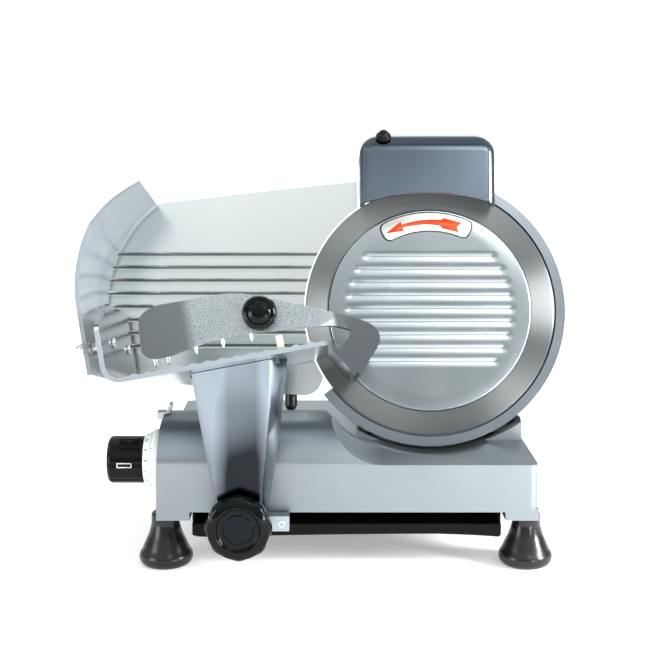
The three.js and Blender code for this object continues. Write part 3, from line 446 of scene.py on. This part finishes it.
RUBBER = moulded("black_rubber", (0.006, 0.007, 0.008), 0.26, tooth=0.1, Specular_IOR_Level=0.4)
BLACK_PAINT = moulded("black_paint", (0.003, 0.003, 0.003), 0.45, tooth=0.2, Specular_IOR_Level=0.1)
WHITE_PLASTIC = moulded("white_plastic", (0.80, 0.84, 0.79), 0.35)
NYLON = moulded("nylon", (0.72, 0.66, 0.50), 0.45)
BRASS = brushed_metal("brass", (0.70, 0.52, 0.24), 0.28, (60, 900, 900))
STONE = moulded("abrasive_stone", (0.22, 0.13, 0.10), 0.95, tooth=1.0)
MOTOR_PAINT = moulded("motor_paint", (0.05, 0.06, 0.07), 0.45)
BELT = moulded("belt_rubber", (0.012, 0.012, 0.012), 0.7, tooth=0.4)
GREEN = moulded("green_plastic", (0.01, 0.27, 0.06), 0.25)
RED = moulded("red_plastic", (0.55, 0.02, 0.015), 0.25)
SMOKY = smoky_plastic("smoky_plastic", (0.215, 0.255, 0.28), 0.76)
LABEL_STOCK = printed("label_stock", (0.78, 0.80, 0.74))
LABEL_BLACK = printed("label_black", (0.01, 0.01, 0.01))
LABEL_RED = printed("label_red", (0.95, 0.045, 0.012))


# ---------------------------------------------------------------- mesh helpers
def rounded(points, radius, steps=4):
    """A 2-D path with each inner corner turned into a short curve."""
    path = [points[0]]
    for before, corner, after in zip(points, points[1:], points[2:]):
        corner = Vector(corner)
        into, out = Vector(before) - corner, Vector(after) - corner
        reach = min(radius, into.length * 0.45, out.length * 0.45)
        start, end = corner + into.normalized() * reach, corner + out.normalized() * reach
        for i in range(steps + 1):
            t = i / steps
            path.append(start * (1 - t) ** 2 + corner * 2 * t * (1 - t) + end * t * t)
    return path + [points[-1]]


def new_object(name, bm, place, material, body, slot, *stands_for):
    """Makes a smooth object from a bmesh in a place, and hangs it on its CAD body."""
    mesh = bpy.data.meshes.new(name)
    bmesh.ops.recalc_face_normals(bm, faces=bm.faces)
    bm.to_mesh(mesh)
    bm.free()
    mesh.polygons.foreach_set("use_smooth", [True] * len(mesh.polygons))
    obj = bpy.data.objects.new(name, mesh)
    bpy.context.collection.objects.link(obj)
    obj.matrix_world = place
    mesh.materials.append(material)
    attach(obj, body)
    if stands_for:
        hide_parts(*stands_for)
    return obj


def ring_verts(bm, radius_at, height, segments):
    """One ring of vertices; radius_at gives the radius at each angle."""
    ring = []
    for i in range(segments):
        angle = math.tau * i / segments
        r = radius_at(angle)
        ring.append(bm.verts.new((r * math.cos(angle), r * math.sin(angle), height)))
    return ring


def skin(bm, rings, closed=False):
    """Faces between rings; a ring of one vertex closes the skin to a point."""
    pairs = list(zip(rings, rings[1:]))
    if closed:
        pairs.append((rings[-1], rings[0]))
    for low, high in pairs:
        count = max(len(low), len(high))
        for i in range(count):
            j = (i + 1) % count
            corners = [low[i % len(low)], low[j % len(low)], high[j % len(high)], high[i % len(high)]]
            bm.faces.new(list(dict.fromkeys(corners)))


def turned(profile, segments=96, closed=False, wave=None):
    """A skin turned about z from (radius, height) points. wave(angle, r) may change the radius."""
    bm = bmesh.new()
    rings = []
    for r, h in profile:
        if r < 1e-6:
            rings.append([bm.verts.new((0, 0, h))])
        elif wave:
            rings.append(ring_verts(bm, lambda angle, r=r: wave(angle, r), h, segments))
        else:
            rings.append(ring_verts(bm, lambda angle, r=r: r, h, segments))
    skin(bm, rings, closed)
    return bm


def slab(outline, low, high):
    """A flat outline of (x, y) points, given a thickness from low to high."""
    bm = bmesh.new()
    base = [bm.verts.new((x, y, low)) for x, y in outline]
    top = [bm.verts.new((x, y, high)) for x, y in outline]
    bm.faces.new(base)
    bm.faces.new(top)
    for i in range(len(base)):
        j = (i + 1) % len(base)
        bm.faces.new([base[i], base[j], top[j], top[i]])
    return bm


def bevel(obj, width, segments=3, angle=35):
    """Rounds an object's sharp edges and keeps its flat faces flat."""
    round_edges = obj.modifiers.new("edges", "BEVEL")
    round_edges.width = width
    round_edges.segments = segments
    round_edges.limit_method = "ANGLE"
    round_edges.angle_limit = math.radians(angle)
    round_edges.miter_outer = "MITER_ARC"
    round_edges.use_clamp_overlap = True
    weighted = obj.modifiers.new("shading", "WEIGHTED_NORMAL")
    weighted.keep_sharp = True


def finish_node(name, material, width=0.4 * MM, segments=2):
    """Gives a CAD node its material and small rounded edges."""
    obj = nodes[name]
    obj.data.materials.clear()
    obj.data.materials.append(material)
    obj.data.polygons.foreach_set("use_smooth", [True] * len(obj.data.polygons))
    weld = obj.modifiers.new("weld", "WELD")
    weld.merge_threshold = 0.00001
    flat = obj.modifiers.new("flat_faces", "DECIMATE")
    flat.decimate_type = "DISSOLVE"
    flat.angle_limit = math.radians(0.2)
    bevel(obj, width, segments)


# ---------------------------------------------------------------- pieces
def make_blade():
    """Hollow-ground blade with a fine edge, dished to take the cover."""
    r, hub_r = half_width("blade"), 12.5 * MM
    cover_r = half_width("blade_cover") + 0.4 * MM
    low, high = span("blade", BLADE, 2)
    back = [(hub_r, low), (r - 27 * MM, low + MM), (r - 6 * MM, -4.2 * MM)]
    edge = [(r, -0.35 * MM), (r, -0.1 * MM), (r - 1.6 * MM, 0.35 * MM)]
    front = [(cover_r + 0.5 * MM, high), (cover_r, high - 0.6 * MM)]
    dish = [(cover_r, -5 * MM), (hub_r, -7 * MM), (hub_r, low)]
    profile = rounded(back + edge + front + dish, 0.5 * MM)
    bm = turned(profile[:-1], 256, closed=True)
    new_object("knife_blade", bm, BLADE, BLADE_STEEL, "blade_group", "blade_steel", "blade")


def furrow_depth(a, b):
    """Share of a furrow's depth at a point of the cover; furrows are round-ended and a rib apart."""
    last_row, ends_r, end_length = 4, 89 * MM, 9 * MM
    row = max(-last_row, min(last_row, round((b - MM) / RIB_PITCH)))
    furrow_b = row * RIB_PITCH + MM
    reach = math.sqrt(ends_r**2 - furrow_b**2) - end_length
    across = (b - furrow_b) / (RIB_PITCH / 2)
    along = max(0.0, abs(a) - reach) / end_length
    return (1 - min(1.0, math.hypot(across, along))) ** 2


def cover_height(a, b, face, rim_r):
    """Height of the cover at a point: level, furrowed, and falling away towards its rim."""
    rim_width, shoulder_r, shoulder_width = 1.2 * MM, 84 * MM, 17.2 * MM
    radius = math.hypot(a, b)
    rim = max(0.0, (radius - (rim_r - rim_width)) / rim_width)
    shoulder = max(0.0, radius - shoulder_r) / shoulder_width
    return face - 0.6 * MM * rim**2 - 0.9 * MM * shoulder**2 - 1.1 * MM * furrow_depth(a, b)


def disc_grid(bm, rim_r, height_at, rows=380, columns=150):
    """Rows of vertices that fill a disc, closer together towards its rim."""
    grid = []
    for i in range(1, rows):
        b = -rim_r * math.cos(math.pi * i / rows)
        half = math.sqrt(rim_r**2 - b * b)
        line = []
        for j in range(columns + 1):
            a = -half * math.cos(math.pi * j / columns)
            line.append(bm.verts.new((a, b, height_at(a, b))))
        grid.append(line)
    return grid


def make_cover():
    """The round plate over the blade's hub, with its rim turned down."""
    rim_r = half_width("blade_cover")
    low, face = -4.4 * MM, span("blade_cover", BLADE, 2)[1]
    bm = bmesh.new()
    grid = disc_grid(bm, rim_r, lambda a, b: cover_height(a, b, face, rim_r))
    for lower, upper in zip(grid, grid[1:]):
        for j in range(len(lower) - 1):
            bm.faces.new([lower[j], lower[j + 1], upper[j + 1], upper[j]])
    bm.faces.new(list(reversed(grid[0])))
    bm.faces.new(grid[-1])
    boundary = [edge for edge in bm.edges if edge.is_boundary]
    skirt = bmesh.ops.extrude_edge_only(bm, edges=boundary)["geom"]
    for vert in [v for v in skirt if isinstance(v, bmesh.types.BMVert)]:
        vert.co.z = low
    new_object("ribbed_cover", bm, BLADE, COVER_METAL, "frame", "polished", "blade_cover")


def arc(r, start, end, steps=48):
    """Points along an arc; angles in radians."""
    angles = [start + (end - start) * i / steps for i in range(steps + 1)]
    return [(r * math.cos(angle), r * math.sin(angle)) for angle in angles]


def arc_band(r0, r1, start, end):
    """An arc-shaped band with round ends, as an outline; angles in degrees."""
    start, end = math.radians(start), math.radians(end)
    middle_r, cap = (r0 + r1) / 2, (r1 - r0) / 2
    outer, inner = arc(r1, start, end), arc(r0, end, start)
    return outer + round_cap(middle_r, cap, end, 1) + inner + round_cap(middle_r, cap, start, -1)


def round_cap(r, cap, angle, side, steps=12):
    """Points of the softened corners at one end of an arc band."""
    corners = []
    for i in range(1, steps):
        turn = math.pi * i / steps
        out = cap * math.copysign(abs(math.cos(turn)) ** 0.75, math.cos(turn)) * side
        along = cap * 0.85 * math.sin(turn) ** 0.75 * side
        radial = Vector((math.cos(angle), math.sin(angle)))
        forward = Vector((-math.sin(angle), math.cos(angle)))
        corners.append(tuple(radial * (r + out) + forward * along))
    return corners


def make_label():
    """A plain direction label on the cover: a red arrow that follows the blade's turn."""
    face = span("blade_cover", BLADE, 2)[1]
    layers = (("label_border", 0.0, 0.10, LABEL_BLACK), ("label_face", 1.1, 0.16, LABEL_STOCK))
    for name, inset, lift, material in layers:
        outline = arc_band((79 + inset) * MM, (99 - inset) * MM, 67.5 + inset / 3, 117 - inset / 3)
        sheet = slab(outline, face - 0.3 * MM, face + lift * MM)
        new_object(name, sheet, BLADE, material, "frame", "white_plastic")
    arrow = slab(arrow_outline(), face, face + 0.22 * MM)
    new_object("label_arrow", arrow, BLADE, LABEL_RED, "frame", "red")


def arrow_outline():
    """A fletched arrow bent round the blade's centre, its shaft narrowing towards the head."""
    middle_r, half_shaft, narrowing = 88.6, 3, 1.25
    shaft_start, shaft_turn = 83, 25

    def at(radius, degrees):
        angle = math.radians(degrees)
        return radius * MM * math.cos(angle), radius * MM * math.sin(angle)

    steps = [i / 24 for i in range(25)]
    outer = [at(middle_r + half_shaft - narrowing * t, shaft_start + shaft_turn * t) for t in steps]
    inner = [at(middle_r - half_shaft + narrowing * t, shaft_start + shaft_turn * t) for t in steps][::-1]
    head = [at(93.8, 108), at(middle_r, 119.5), at(83.4, 108)]
    tail = [at(83.2, 81), at(83.4, 69.5), at(middle_r, 71.5), at(93.8, 69.5), at(94, 81)]
    return outer + head + inner + tail


def make_foot(name):
    """A rubber foot that flares out to the ground."""
    low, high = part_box(name)
    r, top = (high[0] - low[0]) / 2, high[2]
    sole = [(0, 0.2 * MM), (22 * MM, 0), (r, 5 * MM), (r, 10.5 * MM)]
    flare = [(22.6 * MM, 15 * MM), (19.6 * MM, 22 * MM), (16 * MM, 30 * MM), (14 * MM, 37 * MM)]
    neck = [(13.4 * MM, 40 * MM), (13.2 * MM, top), (0, top)]
    profile = rounded(sole + flare + neck, 3 * MM, 5)
    place = Matrix.Translation(((low[0] + high[0]) / 2, (low[1] + high[1]) / 2, 0))
    foot = turned(profile, 72)
    new_object(name.replace("foot", "rubber_foot"), foot, place, RUBBER, "frame", "rubber", name)


def make_star_knob():
    """The lobed knob at the foot of the arm, with a round cap let into its face."""
    low, high = span("star_knob", STAR, 2)
    r = half_width("star_knob")

    def lobes(angle, at):
        notch = 1 - math.sqrt(0.03 + 0.97 * math.cos(4 * angle) ** 2)
        return at - 3.2 * MM * notch if at > 28 * MM else at

    cap = [(0, high - 2.6 * MM), (13 * MM, high - 2.6 * MM), (13.6 * MM, high - 3.6 * MM)]
    face = [(18.4 * MM, high - 3.4 * MM), (20 * MM, high), (r - 7.5 * MM, high - 0.6 * MM)]
    rim = [(r - 2.5 * MM, high - 2.6 * MM), (r, high - 6 * MM), (r, high - 13 * MM)]
    back = [(r - 4 * MM, high - 17 * MM), (13 * MM, high - 18 * MM), (12 * MM, high - 20 * MM)]
    stem = [(12 * MM, 0.4 * MM), (5 * MM, 0.3 * MM), (5 * MM, low), (0, low)]
    profile = rounded(cap + face + rim + back + stem, 2.4 * MM, 5)
    bm = turned(profile, 160, wave=lobes)
    knob = new_object("lobed_knob", bm, STAR, GLOSS_BLACK, "star_knob", "gloss_black", "star_knob")
    knob.data.materials.append(KNOB_FACE)
    for face in knob.data.polygons:
        if face.normal.z > 0.9 and face.center.xy.length < 14.5 * MM:
            face.material_index = 1


def make_dial():
    """The fluted thickness dial and the sloping collar with its scale."""
    low, high = span("dial_knob", DIAL, 2)
    r = half_width("dial_knob", 1)
    bore = 8.5 * MM

    def flutes(angle, at):
        groove = max(0.0, math.cos(8 * angle)) ** 8
        return at - 1.6 * MM * groove if at > r - 1.2 * MM else at

    face = [(0, high - 1.2 * MM), (r - 6 * MM, high - 1.2 * MM), (r - 5 * MM, high)]
    side = [(r - 2.2 * MM, high), (r, high - 2.6 * MM), (r, low + 7 * MM), (r, low)]
    hollow = [(bore, low), (bore, high - 12 * MM), (0, high - 12 * MM)]
    bm = turned(rounded(face + side + hollow, 1.2 * MM), 240, wave=flutes)
    new_object("fluted_dial", bm, DIAL, GLOSS_BLACK, "dial", "gloss_black", "dial_knob")
    make_dial_mark(r, (low + high) / 2)

    low, high = span("dial_collar", DIAL, 2)
    wide = half_width("dial_collar", 1)
    narrow, step = r + 0.4 * MM, low + 4 * MM
    inner = bore + 0.1 * MM
    outline = [(inner, high), (narrow, high), (wide, step), (wide, low), (inner, low), (inner, high)]
    bm = turned(rounded(outline, 0.8 * MM)[:-1], 160, closed=True)
    new_object("scale_collar", bm, DIAL, WHITE_PLASTIC, "dial", "white_plastic", "dial_collar")
    make_scale(narrow, wide, high, step)


def make_dial_mark(r, height):
    """A bright framed mark on the side of the dial."""
    place = DIAL @ basis((-r, 0, height), (0, 0, 1), (-1, 0, 0))
    layers = (("mark_frame", 1.0, 0.15, WHITE_PLASTIC), ("mark_slot", 0.0, 0.3, GLOSS_BLACK))
    for name, grow, lift, material in layers:
        wide, tall = (6 + grow) * MM, (1.4 + grow) * MM
        outline = [(-wide, -tall), (wide, -tall), (wide, tall), (-wide, tall)]
        mark = slab(outline, -1.2 * MM, lift * MM)
        new_object(f"dial_{name}", mark, place, material, "dial", "white_plastic")


def make_scale(narrow, wide, high, low):
    """Ticks and plain numbers round the dial's sloping collar."""
    tick_count, ticks_per_number = 60, 4
    number_count = tick_count // ticks_per_number
    slope = Vector((wide - narrow, 0, low - high)).normalized()
    normal = Vector((-slope.z, 0, slope.x))
    top = Vector((narrow, 0, high))
    start = top + slope * ((wide - narrow) * 0.25 + 5.4 * MM)
    side = Vector((0, 0.22 * MM, 0))
    ticks = bmesh.new()
    for i in range(tick_count):
        end = start + slope * (5.0 if i % ticks_per_number == 0 else 3.0) * MM
        turn = Matrix.Rotation(math.tau * i / tick_count, 3, "Z")
        quad = [start - side, start + side, end + side, end - side]
        ticks.faces.new([ticks.verts.new(turn @ (corner + normal * 0.12 * MM)) for corner in quad])
    new_object("scale_ticks", ticks, DIAL, LABEL_BLACK, "dial", "gloss_black")
    upright = basis(top + slope * 5.6 * MM + normal * 0.1 * MM, Vector((0, 1, 0)), normal)
    for i in range(number_count):
        make_number(i, DIAL @ Matrix.Rotation(math.tau * i / number_count, 4, "Z") @ upright)


def make_number(number, place):
    text = bpy.data.curves.new(f"scale_number_{number:02d}", "FONT")
    text.body = str(number)
    text.size = 4.6 * MM
    text.align_x = "CENTER"
    text.extrude = 0.05 * MM
    text.materials.append(LABEL_BLACK)
    obj = bpy.data.objects.new(text.name, text)
    bpy.context.collection.objects.link(obj)
    obj.matrix_world = place
    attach(obj, "dial")


def make_pusher_knob():
    """The pusher's round knob, with a ring groove round its domed end."""
    low, high = span("pusher_knob", BLADE, 2)
    r, tall = half_width("pusher_knob"), high - low
    stem = [(0, 0), (8 * MM, 0), (8 * MM, 0.18 * tall)]
    side = [(r - 2.5 * MM, 0.3 * tall), (r, 0.45 * tall), (r, 0.62 * tall), (r - 1.6 * MM, 0.8 * tall)]
    groove = [(r - 4 * MM, 0.86 * tall), (r - 4.6 * MM, 0.82 * tall), (r - 5.4 * MM, 0.88 * tall)]
    dome = [(r - 9 * MM, 0.97 * tall), (0, tall)]
    bm = turned(rounded(stem + side + groove + dome, 1 * MM), 72)
    middle = [sum(span("pusher_knob", BLADE, axis)) / 2 for axis in (0, 1)]
    bm.transform(BLADE @ Matrix.Translation((*middle, low)))
    new_object("pusher_ball_knob", bm, Matrix(), GLOSS_BLACK, "pusher", "gloss_black", "pusher_knob")


def make_clamp_knob():
    """The small notched knob on the sharpener's hood, with the screw under it."""
    low, high = span("sharpener_knob", CLAMP, 2)
    r, tall = half_width("sharpener_knob") - 1 * MM, 0.66 * high

    def notches(angle, at):
        return at - 0.4 * MM * max(0.0, math.cos(8 * angle)) ** 3 if at > r - 1.5 * MM else at

    screw = [(0, low), (3 * MM, low), (3 * MM, 0.5 * MM)]
    flange = [(r, 0.5 * MM), (r, 0.45 * tall), (0.68 * r, 0.52 * tall)]
    dome = [(0.66 * r, 0.72 * tall), (0.5 * r, 0.92 * tall), (0.25 * r, tall - 0.2 * MM), (0, tall)]
    bm = turned(rounded(screw + flange + dome, 1.2 * MM), 96, wave=notches)
    bm.transform(CLAMP)
    new_object("clamp_knob", bm, Matrix(), GLOSS_BLACK, "sharpener_knob", "gloss_black", "sharpener_knob")


def make_cover_sides():
    """Black panels shaped as folded sides of the bottom cover, put in as painted shade that closes the
    view in under the base.
    """
    low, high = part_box("bottom_cover")
    sheet = 2 * MM
    near, far = low[1] + 4 * MM, high[1] - 4 * MM
    bottom, top = low[2] + 7 * MM, high[2]
    for side, x in (("left", low[0]), ("right", high[0] - sheet)):
        # black sheets that stand in for the shade under the base
        panel = slab([(near, bottom), (far, bottom), (far, top), (near, top)], 0, sheet)
        place = basis((x, 0, 0), (0, 1, 0), (1, 0, 0))
        obj = new_object(f"shade_panel_{side}", panel, place, BLACK_PAINT, "frame", "black_paint")
        bevel(obj, 0.3 * MM)


def make_block_screw():
    """A socket-head screw in the front of the slide block, right of the arm, with a black disc in its
    socket as painted shade.
    """
    low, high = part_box("slide_block")
    place = basis((high[0] - 7 * MM, low[1], low[2] + 9 * MM), (1, 0, 0), (0, -1, 0))
    recess = [(0, -0.9 * MM), (1.6 * MM, -0.9 * MM)]
    head = [(1.7 * MM, 0.6 * MM), (3.2 * MM, 0.6 * MM), (3.4 * MM, -2 * MM)]
    screw = turned(rounded(recess + head, 0.3 * MM), 48)
    new_object("block_screw", screw, place, STEEL, "carriage", "steel")
    # painted shade: a black disc inside the socket stands in for the shade in the hex hole
    socket = turned([(0, -0.6 * MM), (1.65 * MM, -0.6 * MM), (1.65 * MM, -0.2 * MM), (0, -0.2 * MM)], 6)
    new_object("block_screw_socket_shade", socket, place, BLACK_PAINT, "carriage", "black_paint")


# ---------------------------------------------------------------- camera, floor and lights
def look_at(obj, target):
    """Turns a lamp to face a point."""
    direction = Vector(target) - obj.location
    obj.rotation_euler = direction.to_track_quat("-Z", "Y").to_euler()


def make_camera():
    """Front view from slightly above, set left of the blade and 1.25 m from it."""
    from_blade = Vector((-0.1072, -1.2366, 0.1831))
    downward = math.radians(9)
    camera = bpy.data.cameras.new("camera")
    camera.lens = 69.4
    camera.sensor_width = 36
    obj = bpy.data.objects.new("camera", camera)
    bpy.context.collection.objects.link(obj)
    obj.location = BLADE.translation + from_blade
    obj.rotation_euler = (math.pi / 2 - downward, 0, 0)
    bpy.context.scene.camera = obj


def make_floor():
    """Pale paper that glows more and more away from the machine, so that it meets the white behind."""
    bm = bmesh.new()
    bmesh.ops.create_circle(bm, cap_ends=True, segments=64, radius=12)
    mesh = bpy.data.meshes.new("floor")
    bm.to_mesh(mesh)
    bm.free()
    floor = bpy.data.objects.new("floor", mesh)
    bpy.context.collection.objects.link(floor)
    paper = Finish("pale_floor", (0.86, 0.87, 0.88), 0.0, 0.9, Emission_Color=(1, 1, 1, 1))
    glow = paper.remap(paper.radius(), 0.34, 1.0, 0.3, 1.0)
    paper.link(glow, paper.bsdf.inputs["Emission Strength"])
    paper.bump(paper.noise(300), 0.05, 0.5 * MM)
    mesh.materials.append(paper.material)


def area_light(name, location, target, size, power):
    light = bpy.data.lights.new(name, "AREA")
    light.shape = "RECTANGLE"
    light.size, light.size_y = size
    light.energy = power
    obj = bpy.data.objects.new(name, light)
    bpy.context.collection.objects.link(obj)
    obj.location = location
    look_at(obj, target)


def make_world():
    """White all round for the eye; for the metal, bands of light that are brightest well above level."""
    world = bpy.data.worlds.new("studio")
    bpy.context.scene.world = world
    world.use_nodes = True
    tree = world.node_tree
    background = tree.nodes["Background"]
    coords = tree.nodes.new("ShaderNodeTexCoord")
    split = tree.nodes.new("ShaderNodeSeparateXYZ")
    ramp = tree.nodes.new("ShaderNodeValToRGB")
    tree.links.new(coords.outputs["Generated"], split.inputs["Vector"])
    height = tree.nodes.new("ShaderNodeMapRange")
    height.inputs["From Min"].default_value = -1
    tree.links.new(split.outputs["Z"], height.inputs["Value"])
    tree.links.new(height.outputs["Result"], ramp.inputs["Fac"])
    bands = ((0.0, 0.4), (0.5, 0.36), (0.58, 0.32), (0.68, 0.6), (0.78, 0.96), (0.88, 0.92), (1.0, 0.4))
    set_stops(ramp, [(position, (value * 0.97, value, value * 1.02, 1)) for position, value in bands])
    paths = tree.nodes.new("ShaderNodeLightPath")
    mix = tree.nodes.new("ShaderNodeMix")
    mix.data_type = "RGBA"
    mix.inputs[7].default_value = (1, 1, 1, 1)
    tree.links.new(paths.outputs["Is Camera Ray"], mix.inputs[0])
    tree.links.new(ramp.outputs["Color"], mix.inputs[6])
    tree.links.new(mix.outputs[2], background.inputs["Color"])
    background.inputs["Strength"].default_value = 1.22


def make_lights():
    """Soft studio lamps round the blade: name, place from its centre, size and watts."""
    centre = BLADE.translation
    for name, offset, size, power in (
        ("key", (0.5, -1.1, 1.1), (0.7, 0.7), 6),
        ("strip", (1.2, -0.6, 0.36), (0.3, 0.5), 38),
        ("left", (-1.2, -0.8, 0.0), (0.5, 0.6), 7),
        ("window", (0.55, -1.0, -0.1), (0.16, 0.16), 2.5),
        ("top", (0, 0.1, 1.5), (1.6, 1.2), 5),
        ("back", (0.2, 1.4, 0.9), (1.4, 0.8), 5),
    ):
        area_light(name, centre + Vector(offset), centre, size, power)


# ---------------------------------------------------------------- assembly
make_camera()
make_world()
make_lights()
make_floor()

for cad_node, material, width in (
    ("base_casting", BASE_CAST, 4.5 * MM),
    ("bottom_cover", BLACK_PAINT, 0.5 * MM),
    ("blade_housing", RING_CAST, 0.9 * MM),
    ("blade_shaft", STEEL, 0.3 * MM),
    ("bearing_front", STEEL, 0.4 * MM),
    ("bearing_rear", STEEL, 0.4 * MM),
    ("blade_pulley", STEEL, 0.2 * MM),
    ("motor_pulley", STEEL, 0.2 * MM),
    ("drive_belt", BELT, 0.2 * MM),
    ("motor_body", MOTOR_PAINT, 0.6 * MM),
    ("motor_bracket", STEEL, 0.4 * MM),
    ("motor_rotor", STEEL, 0.3 * MM),
    ("capacitor", WHITE_PLASTIC, 0.8 * MM),
    ("cover_tie_rod", STEEL, 0.3 * MM),
    ("cover_knob", GLOSS_BLACK, 0.8 * MM),
    ("switch_box", BLACK_PAINT, 0.5 * MM),
    ("start_button", GREEN, 0.7 * MM),
    ("stop_button", RED, 0.7 * MM),
    ("cable_gland", RUBBER, 0.5 * MM),
    ("sharpener_housing", SHARPENER_CAST, 0.8 * MM),
    ("sharpener_post", STEEL, 0.4 * MM),
    ("deburr_spindle", GLOSS_BLACK, 0.5 * MM),
    ("deburring_stone", STONE, 0.5 * MM),
    ("grind_spindle", GLOSS_BLACK, 0.5 * MM),
    ("grinding_stone", STONE, 0.5 * MM),
    ("gauge_plate", GAUGE_METAL, 0.4 * MM),
    ("gauge_arm", CAST, 1.5 * MM),
    ("gauge_guide_rod", STEEL, 0.5 * MM),
    ("gauge_bumper", RUBBER, 0.5 * MM),
    ("cam_follower", STEEL, 0.3 * MM),
    ("dial_shaft", STEEL, 0.3 * MM),
    ("dial_pointer", CAST, 0.6 * MM),
    ("carriage_rod", STEEL, 0.4 * MM),
    ("guide_bar", STEEL, 0.4 * MM),
    ("slide_block", CAST, 0.9 * MM),
    ("bushing_left", BRASS, 0.3 * MM),
    ("bushing_right", BRASS, 0.3 * MM),
    ("tray_arm", ARM_METAL, 0.9 * MM),
    ("tray", TRAY_METAL, 0.9 * MM),
    ("clear_guard", SMOKY, 0.5 * MM),
    ("guard_bolt_front", STEEL, 0.3 * MM),
    ("guard_bolt_rear", STEEL, 0.3 * MM),
    ("guard_nut_front", STEEL, 0.3 * MM),
    ("guard_nut_rear", STEEL, 0.3 * MM),
    ("pusher_rod", STEEL, 0.4 * MM),
    ("pusher_bushing", NYLON, 0.2 * MM),
    ("pusher_plate", SPECKLED, 0.9 * MM),
    ("pusher_rest", NYLON, 0.6 * MM),
):
    finish_node(cad_node, material, width)

make_blade()
make_cover()
make_label()
for end in ("front", "rear"):
    for side in ("left", "right"):
        make_foot(f"foot_{end}_{side}")
make_star_knob()
make_dial()
make_pusher_knob()
make_clamp_knob()
make_block_screw()
make_cover_sides()

bpy.context.scene.view_settings.view_transform = "Standard"
